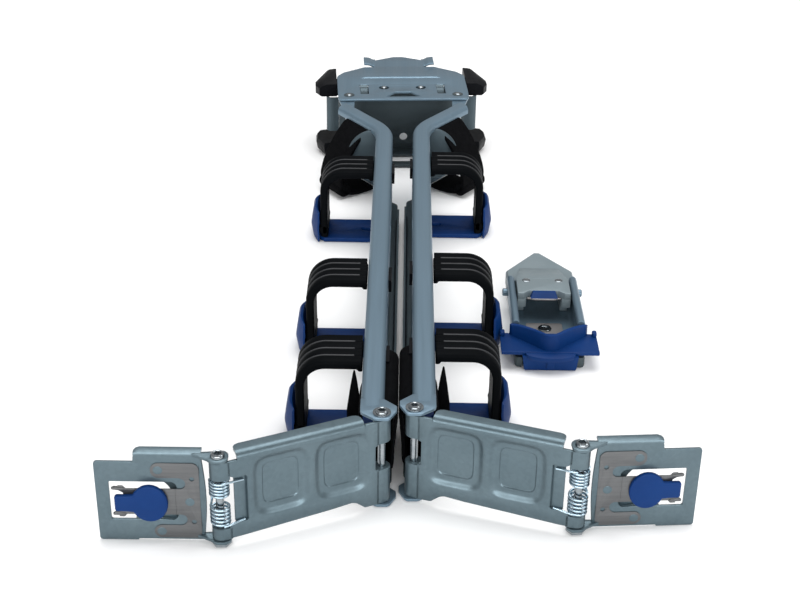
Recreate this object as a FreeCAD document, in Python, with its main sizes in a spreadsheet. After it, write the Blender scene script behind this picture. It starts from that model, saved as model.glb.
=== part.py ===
import FreeCAD, Part
import math
import os
import Sketcher

# A 1U cable management arm, folded: two hinged arms side by side, an elbow at the far end,
# a link plate and a latch bracket at each near end, and a loose attachment bracket beside it.
# Millimetres and degrees. X runs across the arms, Y along them to the elbow, Z up from the floor.
drivingSizes = {
    # frame of the whole part
    "originAcross": 1.3,
    "originAlong": 186.81,
    "seatGap": 0.3,
    "turningGap": 0.05,
    "sheetThickness": 1.2,
    "topPlane": 42.6,
    # arms
    "hingeSpread": 12.8,
    "armShift": 4.0,
    "barWidth": 9.4,
    "barInset": 0.8,
    "barStart": 5.0,
    "barLip": 4.4,
    "barRounding": 2.2,
    "webFoot": 0.3,
    "bendPlace": 284.0,
    "bendRadius": 30.0,
    "flareAngle": 36.0,
    "flareRun": 30.5,
    "pivotAcross": 25.7,
    "pivotAlong": 343.7,
    "lugRadius": 5.0,
    "tipReach": 5.9,
    "windowBottom": 9.0,
    "windowTop": 31.0,
    "windowCorner": 3.0,
    "fanRadius": 15.0,
    "fanReach": 18.5,
    # cable baskets and straps
    "basketNear": 52.2,
    "basketMiddle": 124.5,
    "basketFar": 246.0,
    "basketRightShift": 3.0,
    "shelfWidth": 23.8,
    "shelfThickness": 2.6,
    "shelfReach": 41.0,
    "shelfCorner": 6.0,
    "earInner": 37.6,
    "earWaist": 42.5,
    "earWaistHeight": 8.6,
    "earTop": 40.8,
    "earHeight": 18.8,
    "slotStart": 8.0,
    "slotEnd": 15.6,
    "slotWidth": 3.6,
    "flangeHeight": 13.0,
    "flangeThickness": 1.8,
    "strapWidth": 23.4,
    "strapThickness": 3.2,
    "strapTop": 40.4,
    "strapReach": 36.6,
    "strapBend": 12.0,
    "strapTail": 6.4,
    "ribHeight": 0.7,
    "ribWidth": 3.4,
    "ribPitch": 6.2,
    "beadRadius": 2.4,
    "beadHeight": 7.0,
    "anchorWidth": 10.0,
    "anchorThickness": 3.2,
    "anchorHead": 1.4,
    "wrapWidth": 20.0,
    "wrapThickness": 2.0,
    "nearWrapPlace": 27.0,
    "farWrapPlace": 300.0,
    # link plates and their hinges
    "linkLength": 67.5,
    "leftLinkAngle": 25.0,
    "rightLinkAngle": 18.5,
    "leftLatchAngle": 0.0,
    "rightLatchAngle": 4.5,
    "knuckleRadius": 3.5,
    "screwRadius": 1.6,
    "headRadius": 2.7,
    "headHeight": 1.5,
    "linkTop": 42.0,
    "linkFoot": 1.8,
    "linkEdge": 4.2,
    "rollDepth": 7.4,
    "rollRounding": 2.6,
    "pressWidth": 14.6,
    "pressHeight": 18.8,
    "pressMiddle": 24.6,
    "pressRing": 4.2,
    "pressDepth": 1.3,
    "pressStep": 0.5,
    "firstPress": 18.0,
    "secondPress": 43.4,
    "notchBottom": 10.5,
    "notchTop": 31.5,
    "lowKnuckleTop": 18.0,
    "highKnuckleFoot": 30.3,
    "outerLowTop": 8.8,
    "outerHighFoot": 31.0,
    "outerLugTop": 40.7,
    "outerLugFoot": 1.9,
    "nutRadius": 3.9,
    "springWire": 1.1,
    "springRadius": 3.5,
    "springPitch": 1.45,
    "springTurns": 4.0,
    # latch brackets
    "latchLength": 47.5,
    "latchInner": 6.6,
    "latchBack": 1.2,
    "latchTop": 41.0,
    "latchStep": 36.5,
    "latchStepPlace": 32.2,
    "latchWindowStart": 14.0,
    "latchWindowEnd": 42.3,
    "latchWindowFoot": 9.7,
    "latchWindowTop": 27.5,
    "leafThickness": 0.4,
    "leafStart": 7.6,
    "leafEnd": 26.0,
    "leafFoot": 1.6,
    "leafTop": 36.4,
    "tongueFoot": 12.0,
    "tongueTop": 25.2,
    "tongueEnd": 37.0,
    "prongEnd": 41.4,
    "tabRadius": 8.3,
    "tabPlace": 26.6,
    "tabMiddle": 18.6,
    "tabStem": 40.2,
    "tabStemWidth": 7.2,
    "tabThickness": 2.2,
    "rivetRadius": 1.8,
    "rivetHeight": 0.5,
    # elbow
    "elbowNear": 7.4,
    "elbowHalf": 38.8,
    "elbowSide": 32.0,
    "elbowBack": 47.6,
    "elbowBackHalf": 21.7,
    "tongueHalf": 15.2,
    "tongueShoulder": 59.5,
    "tongueApex": 66.5,
    "earCurl": 6.4,
    "earCurlHeight": 4.0,
    "wallPlace": 15.4,
    "wallHalf": 38.0,
    "floorFlangeFoot": 0.8,
    "floorFlangeNear": 10.5,
    "cableHoleRadius": 2.4,
    "cableHoleHeight": 16.0,
    "pivotRadius": 2.5,
    "guardRadius": 3.2,
    "guardPlace": 42.4,
    "guardAlong": 21.0,
    "capFoot": 35.0,
    "capReach": 52.0,
    "capNear": 17.5,
    "capFar": 46.0,
    "lowCapTop": 8.6,
    "beadHalf": 24.4,
    "beadAlong": 29.0,
    # loose attachment bracket
    "clipAcross": 70.0,
    "clipAlong": 101.5,
    "clipWidth": 32.6,
    "clipWall": 1.8,
    "clipHeight": 16.4,
    "railRadius": 1.9,
    "channelStart": 7.5,
    "channelEnd": 66.0,
    "noseShoulder": 79.0,
    "noseApex": 98.0,
    "noseTop": 12.0,
    "noseFoot": 3.2,
    "blockNear": 47.0,
    "blockFar": 70.0,
    "blockTop": 16.6,
    "wingSpan": 45.6,
    "wingNear": 1.2,
    "wingFar": 19.0,
    "wingFoot": 7.6,
    "wingThickness": 1.6,
    "skirtWidth": 23.6,
    "bowHeight": 7.0,
    "pinRadius": 1.9,
    "pinReach": 4.4,
    "pinHeight": 10.5,
    "pinAlong": 57.0,
}

document = FreeCAD.newDocument("CableArm")
sheet = document.addObject("Spreadsheet::Sheet", "Sizes")
for row, (alias, number) in enumerate(drivingSizes.items(), start=1):
    sheet.set(f"A{row}", alias)
    sheet.set(f"B{row}", str(number))
    sheet.setAlias(f"B{row}", alias)
document.recompute()


class Size:
    """A number together with the sheet formula that gives it."""

    def __init__(self, number, formula):
        self.number = float(number)
        self.formula = formula

    def __float__(self):
        return self.number

    def __neg__(self):
        return Size(-self.number, f"-({self.formula})")

    def __add__(self, other):
        return Size(self.number + float(other), f"({self.formula} + {written(other)})")

    def __sub__(self, other):
        return Size(self.number - float(other), f"({self.formula} - {written(other)})")

    def __mul__(self, other):
        return Size(self.number * float(other), f"({self.formula} * {written(other)})")

    def __truediv__(self, other):
        return Size(self.number / float(other), f"({self.formula} / {written(other)})")

    def __radd__(self, other):
        return Size(float(other) + self.number, f"({written(other)} + {self.formula})")

    def __rsub__(self, other):
        return Size(float(other) - self.number, f"({written(other)} - {self.formula})")

    def __rmul__(self, other):
        return Size(float(other) * self.number, f"({written(other)} * {self.formula})")


class SizeTable:
    """Reads a size from the sheet by its alias."""

    def __getattr__(self, alias):
        return Size(sheet.get(alias), f"Sizes.{alias}")


def written(value):
    return value.formula if isinstance(value, Size) else repr(float(value))


def sine(angle):
    return Size(math.sin(math.radians(float(angle))), f"sin({angle.formula})")


def cosine(angle):
    return Size(math.cos(math.radians(float(angle))), f"cos({angle.formula})")


s = SizeTable()
vector = FreeCAD.Vector
parts = []


def bind(item, path, value):
    """Sets a property and ties it to the sheet."""
    if isinstance(value, Size):
        item.setExpression(path, value.formula)
    else:
        setattr(item, path, value)


def newBody(name):
    body = document.addObject("PartDesign::Body", name)
    body.Label = name
    body.AllowCompound = True
    parts.append(body)
    return body


def finished(piece, name):
    piece.Label = name
    parts.append(piece)
    return piece


def put(piece, across, along, height=0.0, turn=0.0):
    """Stands a piece in the frame of the whole part, turned about the vertical."""
    spot = vector(float(across) - float(s.originAcross), float(along) - float(s.originAlong), float(height))
    piece.Placement = FreeCAD.Placement(spot, FreeCAD.Rotation(vector(0, 0, 1), float(turn)))
    return piece


def sketchOn(body, plane, start):
    """A sketch on an origin plane of the body, moved along that plane's axis."""
    sketch = body.newObject("Sketcher::SketchObject", "Sketch")
    support = [item for item in body.Origin.OriginFeatures if item.Role == plane + "_Plane"][0]
    sketch.AttachmentSupport = [(support, "")]
    sketch.MapMode = "FlatFace"
    away = -1.0 if plane == "XZ" else 1.0
    sketch.AttachmentOffset = FreeCAD.Placement(vector(0, 0, away * float(start)), FreeCAD.Rotation())
    if isinstance(start, Size):
        sketch.setExpression("AttachmentOffset.Base.z", (start * away).formula)
    return sketch


def pinPoint(sketch, element, end, x, y):
    """Holds one point of a sketch at its distances from the sketch origin."""
    for kind, value, axis in (("DistanceX", x, -2), ("DistanceY", y, -1)):
        if float(value) == 0.0:
            sketch.addConstraint(Sketcher.Constraint("PointOnObject", element, end, axis))
            continue
        index = sketch.addConstraint(Sketcher.Constraint(kind, -1, 1, element, end, float(value)))
        if isinstance(value, Size):
            sketch.setExpression(f"Constraints[{index}]", value.formula)


def heading(start, end):
    """Unit step from one corner to the next along an axis."""
    dx = float(end[0]) - float(start[0])
    dy = float(end[1]) - float(start[1])
    reach = math.hypot(dx, dy)
    return round(dx / reach), round(dy / reach)


def addArc(sketch, centre, radius, start, end, leftward):
    """An arc between two points, with the end numbers of its first and last point."""
    angles = [math.atan2(float(spot[1]) - float(centre[1]), float(spot[0]) - float(centre[0]))
              for spot in (start, end)]
    if not leftward:
        angles.reverse()
    if angles[1] < angles[0]:
        angles[1] += 2 * math.pi
    circle = Part.Circle(point(centre), vector(0, 0, 1), float(radius))
    element = sketch.addGeometry(Part.ArcOfCircle(circle, *angles), False)
    index = sketch.addConstraint(Sketcher.Constraint("Radius", element, float(radius)))
    if isinstance(radius, Size):
        sketch.setExpression(f"Constraints[{index}]", radius.formula)
    return (element, 1, 2) if leftward else (element, 2, 1)


def addOutline(sketch, corners):
    """A closed outline. A corner is (x, y), or (x, y, radius) between two sides along the axes."""
    count = len(corners)
    stops = []
    for index, corner in enumerate(corners):
        if len(corner) == 2:
            stops.append((corner, corner, None))
            continue
        before = heading(corners[index - 1], corner)
        after = heading(corner, corners[(index + 1) % count])
        x, y, radius = corner
        start = (x - radius * before[0], y - radius * before[1])
        end = (x + radius * after[0], y + radius * after[1])
        centre = [float(start[axis]) + float(radius) * after[axis] for axis in (0, 1)]
        leftward = before[0] * after[1] - before[1] * after[0] > 0
        stops.append((start, end, (centre, radius, leftward)))
    chain = []
    for index in range(count):
        start, end, curve = stops[index]
        if curve:
            centre, radius, leftward = curve
            chain.append((*addArc(sketch, centre, radius, start, end, leftward), start))
        following = stops[(index + 1) % count][0]
        line = sketch.addGeometry(Part.LineSegment(point(end), point(following)), False)
        chain.append((line, 1, 2, end))
    for index, (element, first, last, start) in enumerate(chain):
        following = chain[(index + 1) % len(chain)]
        sketch.addConstraint(Sketcher.Constraint("Coincident", element, last, following[0], following[1]))
        pinPoint(sketch, element, first, *start)


def point(corner):
    return vector(float(corner[0]), float(corner[1]), 0)


def addDisc(sketch, x, y, radius):
    circle = sketch.addGeometry(Part.Circle(point((x, y)), vector(0, 0, 1), float(radius)), False)
    pinPoint(sketch, circle, 3, x, y)
    index = sketch.addConstraint(Sketcher.Constraint("Radius", circle, float(radius)))
    if isinstance(radius, Size):
        sketch.setExpression(f"Constraints[{index}]", radius.formula)


def drawAll(sketch, shapes):
    for shape in shapes:
        if shape[0] == "disc":
            addDisc(sketch, *shape[1:])
        else:
            addOutline(sketch, shape)


def pad(body, plane, start, length, *shapes):
    """Material from start to start + length along the plane's own axis."""
    sketch = sketchOn(body, plane, start)
    drawAll(sketch, shapes)
    feature = body.newObject("PartDesign::Pad", "Pad")
    feature.Profile = sketch
    feature.Reversed = plane == "XZ"
    bind(feature, "Length", length)
    return feature


def pocket(body, plane, start, length, *shapes):
    """Cuts from start to start + length along the plane's own axis."""
    sketch = sketchOn(body, plane, start)
    drawAll(sketch, shapes)
    feature = body.newObject("PartDesign::Pocket", "Pocket")
    feature.Profile = sketch
    feature.Reversed = plane != "XZ"
    bind(feature, "Length", length)
    return feature


def press(body, kind, plane, start, shape, end, smaller):
    """A sloped boss or hollow between two like outlines."""
    sketches = [sketchOn(body, plane, start), sketchOn(body, plane, end)]
    for sketch, outline in zip(sketches, (shape, smaller)):
        addOutline(sketch, outline)
    feature = body.newObject(f"PartDesign::{kind}Loft", "Press")
    feature.Profile = sketches[0]
    feature.Sections = [sketches[1]]
    feature.Ruled = True
    return feature


def repeated(body, feature, plane, axis, pitch, count):
    """A row of copies of one feature."""
    pattern = body.newObject("PartDesign::LinearPattern", "Row")
    pattern.Originals = [feature]
    direction = [item for item in body.Origin.OriginFeatures if item.Role == axis + "_Axis"][0]
    pattern.Direction = (direction, [""])
    pattern.Mode = "Spacing"
    bind(pattern, "Offset", pitch)
    pattern.Occurrences = count
    body.Tip = pattern
    return pattern


def dressed(body, kind, radius, wanted):
    """A fillet or chamfer on the edges that the test picks."""
    document.recompute()
    base = body.Tip
    names = [f"Edge{index}" for index, edge in enumerate(base.Shape.Edges, start=1) if wanted(edge)]
    feature = body.newObject(f"PartDesign::{kind}", kind)
    feature.Base = (base, names)
    bind(feature, "Radius" if kind == "Fillet" else "Size", radius)
    return feature


def runsAlong(edge, axis):
    if not isinstance(edge.Curve, Part.Line):
        return False
    direction = edge.Curve.Direction
    return abs(abs(getattr(direction, axis)) - 1.0) < 1e-6


def near(value, target):
    return abs(value - float(target)) < 1e-3


def rectangle(left, low, right, high, radius=None):
    corners = [(left, low), (right, low), (right, high), (left, high)]
    if radius is None:
        return corners
    return [(x, y, radius) for x, y in corners]


def ring(inner, outer, low, high, side=1):
    """A rectangle between two distances from the middle, on one side of it."""
    first, last = (inner * side, outer * side)
    return rectangle(first, low, last, high)


def flipped(corners, side):
    return [(corner[0] * side, *corner[1:]) for corner in corners]


def turned(name, profile):
    """A body of revolution about Z from (radius, height) corners."""
    body = newBody(name)
    sketch = sketchOn(body, "XZ", 0.0)
    addOutline(sketch, profile)
    feature = body.newObject("PartDesign::Revolution", "Revolution")
    feature.Profile = sketch
    feature.ReferenceAxis = (sketch, ["V_Axis"])
    feature.Angle = 360
    return body


zero = s.seatGap * 0
sheetMetal = s.sheetThickness
sides = {"left": -1, "right": 1}
hingeHalf = s.hingeSpread / 2
armBase = {"left": -s.armShift / 2, "right": s.armShift / 2}
linkAngle = {"left": s.leftLinkAngle, "right": -s.rightLinkAngle}
latchAngle = {"left": s.leftLatchAngle, "right": s.rightLatchAngle}
barInner = -s.barInset
barOuter = s.barWidth - s.barInset
barMiddle = s.barWidth / 2 - s.barInset
flangeUnder = s.topPlane - sheetMetal


def armSpot(side):
    return sides[side] * float(hingeHalf), float(armBase[side])


# Arms: a channel with a round-edged top bar, swept along a straight run, a bend and the flare.
def armChannel(side):
    way = sides[side]
    body = newBody(f"arm_{side}")
    spine = sketchOn(body, "XY", zero)
    turn = s.flareAngle
    bendStart = (barMiddle * way, s.bendPlace)
    bendEnd = ((barMiddle + s.bendRadius - s.bendRadius * cosine(turn)) * way,
               s.bendPlace + s.bendRadius * sine(turn))
    flareEnd = (bendEnd[0] + s.flareRun * sine(turn) * way, bendEnd[1] + s.flareRun * cosine(turn))
    runStart = (barMiddle * way, s.barStart)
    bendCentre = ((barMiddle + s.bendRadius) * way, s.bendPlace)
    run = spine.addGeometry(Part.LineSegment(point(runStart), point(bendStart)), False)
    bend, bendFirst, bendLast = addArc(spine, bendCentre, s.bendRadius, bendStart, bendEnd, way < 0)
    flare = spine.addGeometry(Part.LineSegment(point(bendEnd), point(flareEnd)), False)
    spine.addConstraint(Sketcher.Constraint("Coincident", run, 2, bend, bendFirst))
    spine.addConstraint(Sketcher.Constraint("Coincident", bend, bendLast, flare, 1))
    pinPoint(spine, run, 1, *runStart)
    pinPoint(spine, run, 2, *bendStart)
    pinPoint(spine, flare, 1, *bendEnd)
    pinPoint(spine, flare, 2, *flareEnd)
    section = sketchOn(body, "XZ", s.barStart)
    inner = barInner + sheetMetal
    outer = barOuter - sheetMetal
    addOutline(section, flipped([(barInner, s.webFoot), (inner, s.webFoot), (inner, flangeUnder),
                                 (outer, flangeUnder), (outer, s.topPlane - s.barLip),
                                 (barOuter, s.topPlane - s.barLip), (barOuter, s.topPlane, s.barRounding),
                                 (barInner, s.topPlane, s.barRounding)], way))
    pipe = body.newObject("PartDesign::AdditivePipe", "Channel")
    pipe.Profile = section
    pipe.Spine = spine
    lug = [(barInner, s.barStart + s.lugRadius), (-s.tipReach, s.lugRadius), (-s.tipReach, s.lugRadius / 3),
           (-s.lugRadius * 0.6, -s.lugRadius * 0.85), (s.lugRadius * 0.6, -s.lugRadius * 0.85),
           (barOuter, s.seatGap), (barOuter, s.barStart + s.lugRadius)]
    pad(body, "XY", flangeUnder, sheetMetal, flipped(lug, way))
    lowLug = lug[:5] + [(s.lugRadius, zero), (s.lugRadius * 0.6, s.barStart + s.lugRadius)]
    pad(body, "XY", s.webFoot, sheetMetal, flipped(lowLug, way))
    # Far lugs: a joggled upper lug under the elbow plate and a lower one over the elbow's floor flange.
    lugHalf = s.lugRadius * 1.4
    lugBack = s.lugRadius

    def acrossFlare(back, offset):
        return (flareEnd[0] * way - back * sine(turn) + offset * cosine(turn),
                flareEnd[1] - back * cosine(turn) - offset * sine(turn))
    half = s.barWidth / 2 - sheetMetal
    farLug = [acrossFlare(lugBack, -half), acrossFlare(lugBack, half),
              (s.pivotAcross + lugHalf, s.pivotAlong), (s.pivotAcross + lugHalf * 0.6, s.pivotAlong + lugHalf),
              (s.pivotAcross - lugHalf * 0.6, s.pivotAlong + lugHalf), (s.pivotAcross - lugHalf, s.pivotAlong)]
    joggle = [farLug[0], farLug[1], acrossFlare(sheetMetal, half), acrossFlare(sheetMetal, -half)]
    upperLug = flangeUnder - s.seatGap - sheetMetal
    pad(body, "XY", upperLug, sheetMetal, flipped(farLug, way))
    pad(body, "XY", upperLug + sheetMetal, s.seatGap, flipped(joggle, way))
    lowerLug = s.floorFlangeFoot + sheetMetal + s.seatGap
    pad(body, "XY", lowerLug, sheetMetal, flipped(farLug, way))
    # A round cable fan stands out from the web before the flare.
    pad(body, "XZ", s.bendPlace + s.fanRadius * 0.8, sheetMetal,
        flipped([(s.lugRadius * 0.5, s.shelfThickness), (s.fanReach, s.shelfThickness),
                 (s.fanReach, s.windowTop + s.lugRadius, s.fanRadius), (s.lugRadius * 0.5, s.windowTop + s.lugRadius)],
                way))
    hole = s.screwRadius + s.turningGap
    pocket(body, "XY", s.webFoot - sheetMetal, s.topPlane + sheetMetal * 3, ("disc", zero, zero, hole))
    pivotHole = s.pivotRadius + s.turningGap
    pocket(body, "XY", s.webFoot, s.topPlane + sheetMetal * 3,
           ("disc", s.pivotAcross * way, s.pivotAlong, pivotHole))
    # Web windows between the baskets, and the slots for the strap anchors.
    places = basketPlaces(side)
    clear = s.shelfWidth / 2 + s.windowCorner
    windows = [(s.barStart + s.lugRadius + s.windowCorner, places[0] - clear)]
    windows.append((places[0] + clear, places[1] - clear))
    gap = (places[2] - places[1] - clear * 2) / 2
    windows.append((places[1] + clear, places[1] + clear + gap - s.windowCorner))
    windows.append((places[2] - clear - gap + s.windowCorner, places[2] - clear))
    windows.append((places[2] + clear, s.bendPlace))
    cut = (barInner - sheetMetal) if way > 0 else (-(barInner + sheetMetal * 2))
    shapes = [rectangle(first, s.windowBottom, last, s.windowTop, s.windowCorner) for first, last in windows]
    pocket(body, "YZ", cut, sheetMetal * 3, *shapes)
    slotHalf = s.anchorWidth / 2 + s.seatGap
    foot = anchorFoot() - s.seatGap / 2
    shapes = [rectangle(place - slotHalf, foot, place + slotHalf, foot + s.anchorThickness + s.seatGap)
              for place in places]
    pocket(body, "YZ", cut, sheetMetal * 3, *shapes)
    put(body, *armSpot(side))


def basketPlaces(side):
    shift = s.basketRightShift if side == "right" else zero
    return [s.basketNear + shift, s.basketMiddle + shift, s.basketFar + shift]


def anchorFoot():
    return s.strapTop - s.strapTail


# Cable baskets: a shelf with a slot, a flange on the web and an upturned ear.
def basket(side, name, place):
    way = sides[side]
    body = newBody(f"basket_{side}_{name}")
    half = s.shelfWidth / 2
    start = barInner + sheetMetal + s.seatGap / 3
    slotHalf = s.slotWidth / 2
    pad(body, "XY", zero, s.shelfThickness,
        flipped([(start, -half), (s.shelfReach - s.shelfCorner, -half), (s.shelfReach, s.shelfCorner - half),
                 (s.shelfReach, half - s.shelfCorner), (s.shelfReach - s.shelfCorner, half), (start, half)], way))
    pad(body, "XZ", -half, s.shelfWidth,
        flipped([(s.earInner, zero), (s.shelfReach, zero), (s.earWaist, s.earWaistHeight),
                 (s.earTop, s.earHeight), (s.earTop - s.flangeThickness, s.earHeight),
                 (s.earInner, s.earHeight * 0.8)], way))
    pad(body, "YZ", start if way > 0 else -(start + s.flangeThickness), s.flangeThickness,
        [(-half + s.shelfCorner / 2, zero), (half - s.shelfCorner / 2, zero),
         (half - s.shelfCorner / 2, s.flangeHeight, s.windowCorner),
         (-half + s.shelfCorner / 2, s.flangeHeight, s.windowCorner)])
    beyond = s.earWaist + s.shelfCorner
    for end in (-1, 1):
        pocket(body, "XY", -s.shelfThickness, s.earHeight * 2,
               flipped([(s.earInner + s.seatGap, half * end * 1.05), (beyond, half * end * 1.05),
                        (beyond, zero), (s.earWaist, (half - s.shelfCorner) * end)], way))
    pocket(body, "XY", -s.shelfThickness, s.shelfThickness * 3,
           flipped(rectangle(s.slotStart, -slotHalf, s.slotEnd, slotHalf, slotHalf * 0.96), way))
    pocket(body, "XZ", -half * 1.1, s.shelfWidth * 1.1,
           ("disc", (s.strapReach - s.beadRadius / 2) * way, s.beadHeight, s.beadRadius + s.seatGap))
    across, along = armSpot(side)
    put(body, across, along + float(place))


# Rubber straps: a ribbed bow from the bar over the cables and down to a bead in the ear.
def strap(side, name, place):
    way = sides[side]
    body = newBody(f"strap_{side}_{name}")
    half = s.strapWidth / 2
    start = barOuter + s.seatGap
    inner = s.strapReach - s.strapThickness
    foot = s.shelfThickness + s.seatGap
    under = s.strapTop - s.strapThickness
    tail = s.strapTop - s.strapTail
    pad(body, "XZ", -half, s.strapWidth,
        flipped([(start, tail), (start, s.strapTop), (s.strapReach, s.strapTop, s.strapBend), (s.strapReach, foot),
                 (inner, foot), (inner, under, s.strapBend - s.strapThickness),
                 (start + s.strapThickness / 2, under), (start + s.strapThickness / 2, tail)], way))
    pad(body, "XZ", -half, s.strapWidth,
        ("disc", (s.strapReach - s.beadRadius / 2) * way, s.beadHeight, s.beadRadius))
    high = s.strapTop + s.ribHeight
    reach = s.strapReach + s.ribHeight
    ribFoot = s.earHeight + s.seatGap * 2
    rib = pad(body, "XZ", -half, s.ribWidth,
              flipped([(start + s.ribHeight, s.strapTop - s.ribHeight), (start + s.ribHeight, high),
                       (reach, high, s.strapBend + s.ribHeight), (reach, ribFoot),
                       (reach - s.ribHeight * 2, ribFoot),
                       (reach - s.ribHeight * 2, s.strapTop - s.ribHeight, s.strapBend - s.ribHeight)], way))
    spacing = (s.strapWidth - s.ribWidth) / 3
    repeated(body, rib, "XZ", "Y", spacing, 4)
    across, along = armSpot(side)
    put(body, across, along + float(place))


def anchors(side):
    """Plugs that pass through the web and carry the inner end of each strap."""
    way = sides[side]
    blocks = []
    start = barInner - s.anchorHead - s.seatGap / 3
    reach = barOuter + s.seatGap / 2
    for place in basketPlaces(side):
        for low, high, width, foot, tall in (
                (barInner - s.seatGap / 3, reach, s.anchorWidth, anchorFoot(), s.anchorThickness),
                (start, barInner - s.seatGap / 3, s.anchorWidth + s.anchorThickness,
                 anchorFoot() - s.anchorHead, s.anchorThickness + s.anchorHead * 2)):
            block = document.addObject("Part::Box", "AnchorBlock")
            bind(block, "Length", high - low)
            bind(block, "Width", width)
            bind(block, "Height", tall)
            left = low if way > 0 else -high
            block.Placement.Base = vector(float(left), float(place - width / 2), float(foot))
            blocks.append(block)
    group = document.addObject("Part::MultiFuse", "Anchors")
    group.Shapes = blocks
    finished(group, f"strap_anchors_{side}")
    put(group, *armSpot(side))


def wraps(side):
    """Hook-and-loop wraps: a short loop near the hinge and a wide drooping one before the elbow."""
    way = sides[side]
    across, along = armSpot(side)
    near = newBody(f"near_wrap_{side}")
    half = s.wrapWidth / 2
    wall = barInner + sheetMetal + s.seatGap
    thick = s.wrapThickness
    low = s.shelfThickness
    reach = barOuter + s.lugRadius
    high = s.topPlane - s.barLip - s.seatGap
    pad(near, "XZ", -half, s.wrapWidth,
        flipped([(wall, low), (reach, low, s.lugRadius), (reach, high, s.lugRadius), (wall, high),
                 (wall, high - thick), (reach - thick, high - thick, s.lugRadius - thick),
                 (reach - thick, low + thick, s.lugRadius - thick), (wall, low + thick)], way))
    put(near, across, along + float(s.nearWrapPlace))
    return near


def farWrap(side):
    way = sides[side]
    across, along = armSpot(side)
    far = newBody(f"far_wrap_{side}")
    thick = s.wrapThickness
    wall = barOuter + s.seatGap
    high = s.topPlane - s.barLip - s.seatGap
    reach = s.strapReach - s.seatGap
    low = s.seatGap
    pad(far, "XZ", zero, s.wrapWidth,
        flipped([(wall, high), (reach * 0.7, high), (reach, high * 0.62), (reach * 1.04, high * 0.3),
                 (reach * 0.82, low), (wall, low), (wall, low + thick), (reach * 0.8, low + thick),
                 (reach * 1.04 - thick * 1.2, high * 0.32), (reach - thick * 1.2, high * 0.6),
                 (reach * 0.67, high - thick), (wall, high - thick)], way))
    put(far, across, along + float(s.farWrapPlace) - float(s.wrapWidth))


for side in sides:
    armChannel(side)
    for name, place in zip(("near", "middle", "far"), basketPlaces(side)):
        basket(side, name, place)
        strap(side, name, place)
    anchors(side)
    wraps(side)
    farWrap(side)


# Link plates: pressed sheet with a rolled top edge, two sloped dishes and rolled knuckles.
def linkSpot(side):
    return armSpot(side)


def outerSpot(side):
    way = sides[side]
    across, along = armSpot(side)
    turn = math.radians(float(linkAngle[side]))
    reach = float(s.linkLength) * way
    return across + reach * math.cos(turn), along + reach * math.sin(turn)


def linkPlate(side):
    way = sides[side]
    body = newBody(f"link_plate_{side}")
    front = -s.knuckleRadius
    start = s.knuckleRadius
    end = s.linkLength - s.knuckleRadius
    edge = s.linkEdge
    flangeStart = barOuter
    flangeEnd = s.linkLength - s.latchInner
    pad(body, "XZ", front, sheetMetal,
        flipped([(start, s.linkFoot), (start * 2.8, s.linkFoot), (start * 3.5, edge * 0.9),
                 (start * 4.6, edge * 1.3), (end - start, edge * 0.9), (end, edge * 0.9),
                 (end, s.outerLugTop - sheetMetal - s.seatGap), (flangeEnd, s.outerLugTop - sheetMetal - s.seatGap),
                 (flangeEnd, s.linkTop - s.rollRounding), (flangeStart, s.linkTop - s.rollRounding),
                 (flangeStart, flangeUnder - s.seatGap), (start, flangeUnder - s.seatGap)], way))
    rollStart = flangeStart if way > 0 else -flangeEnd
    pad(body, "YZ", rollStart, flangeEnd - flangeStart,
        [(front, s.linkTop - s.rollDepth), (front + sheetMetal, s.linkTop - s.rollDepth),
         (front + sheetMetal, s.linkTop - sheetMetal, s.rollRounding - sheetMetal),
         (front + s.rollDepth, s.linkTop - sheetMetal), (front + s.rollDepth, s.linkTop),
         (front, s.linkTop, s.rollRounding)])
    for middle in (s.firstPress, s.secondPress):
        def panel(grow):
            wide = s.pressWidth / 2 + grow
            tall = s.pressHeight / 2 + grow
            return rectangle((middle - wide) * way, s.pressMiddle - tall, (middle + wide) * way,
                             s.pressMiddle + tall, grow + s.windowCorner)
        rim = panel(s.pressRing)
        ledge = panel(s.pressRing * 0.3)
        floor = front + s.pressDepth
        press(body, "Additive", "XZ", front + sheetMetal, rim, floor + sheetMetal, ledge)
        pad(body, "XZ", floor + sheetMetal, s.pressStep, panel(sheetMetal * 0.7))
        press(body, "Subtractive", "XZ", front, rim, floor, ledge)
        pocket(body, "XZ", floor, s.pressStep, panel(zero))
    knuckles = ((zero, s.linkFoot, s.lowKnuckleTop), (zero, s.highKnuckleFoot, flangeUnder - s.seatGap),
                (s.linkLength, s.outerLugFoot + sheetMetal + s.seatGap, s.outerLowTop),
                (s.linkLength, s.outerHighFoot, s.outerLugTop - sheetMetal - s.seatGap))
    for axis, low, high in knuckles:
        leafEnd = start if float(axis) == 0.0 else end
        pad(body, "XZ", front, sheetMetal, flipped(rectangle(axis, low, leafEnd, high), way))
        pad(body, "XY", low, high - low, ("disc", axis * way, zero, s.knuckleRadius))
    hole = s.screwRadius + s.turningGap
    pocket(body, "XY", -sheetMetal, s.topPlane + sheetMetal * 3, ("disc", zero, zero, hole))
    pocket(body, "XY", -sheetMetal, s.topPlane + sheetMetal * 3, ("disc", s.linkLength * way, zero, hole))
    pocket(body, "XZ", front - sheetMetal, s.rollDepth,
           flipped(rectangle(end - sheetMetal, s.notchBottom, s.linkLength, s.notchTop), way))
    put(body, *linkSpot(side), 0.0, linkAngle[side])


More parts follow.
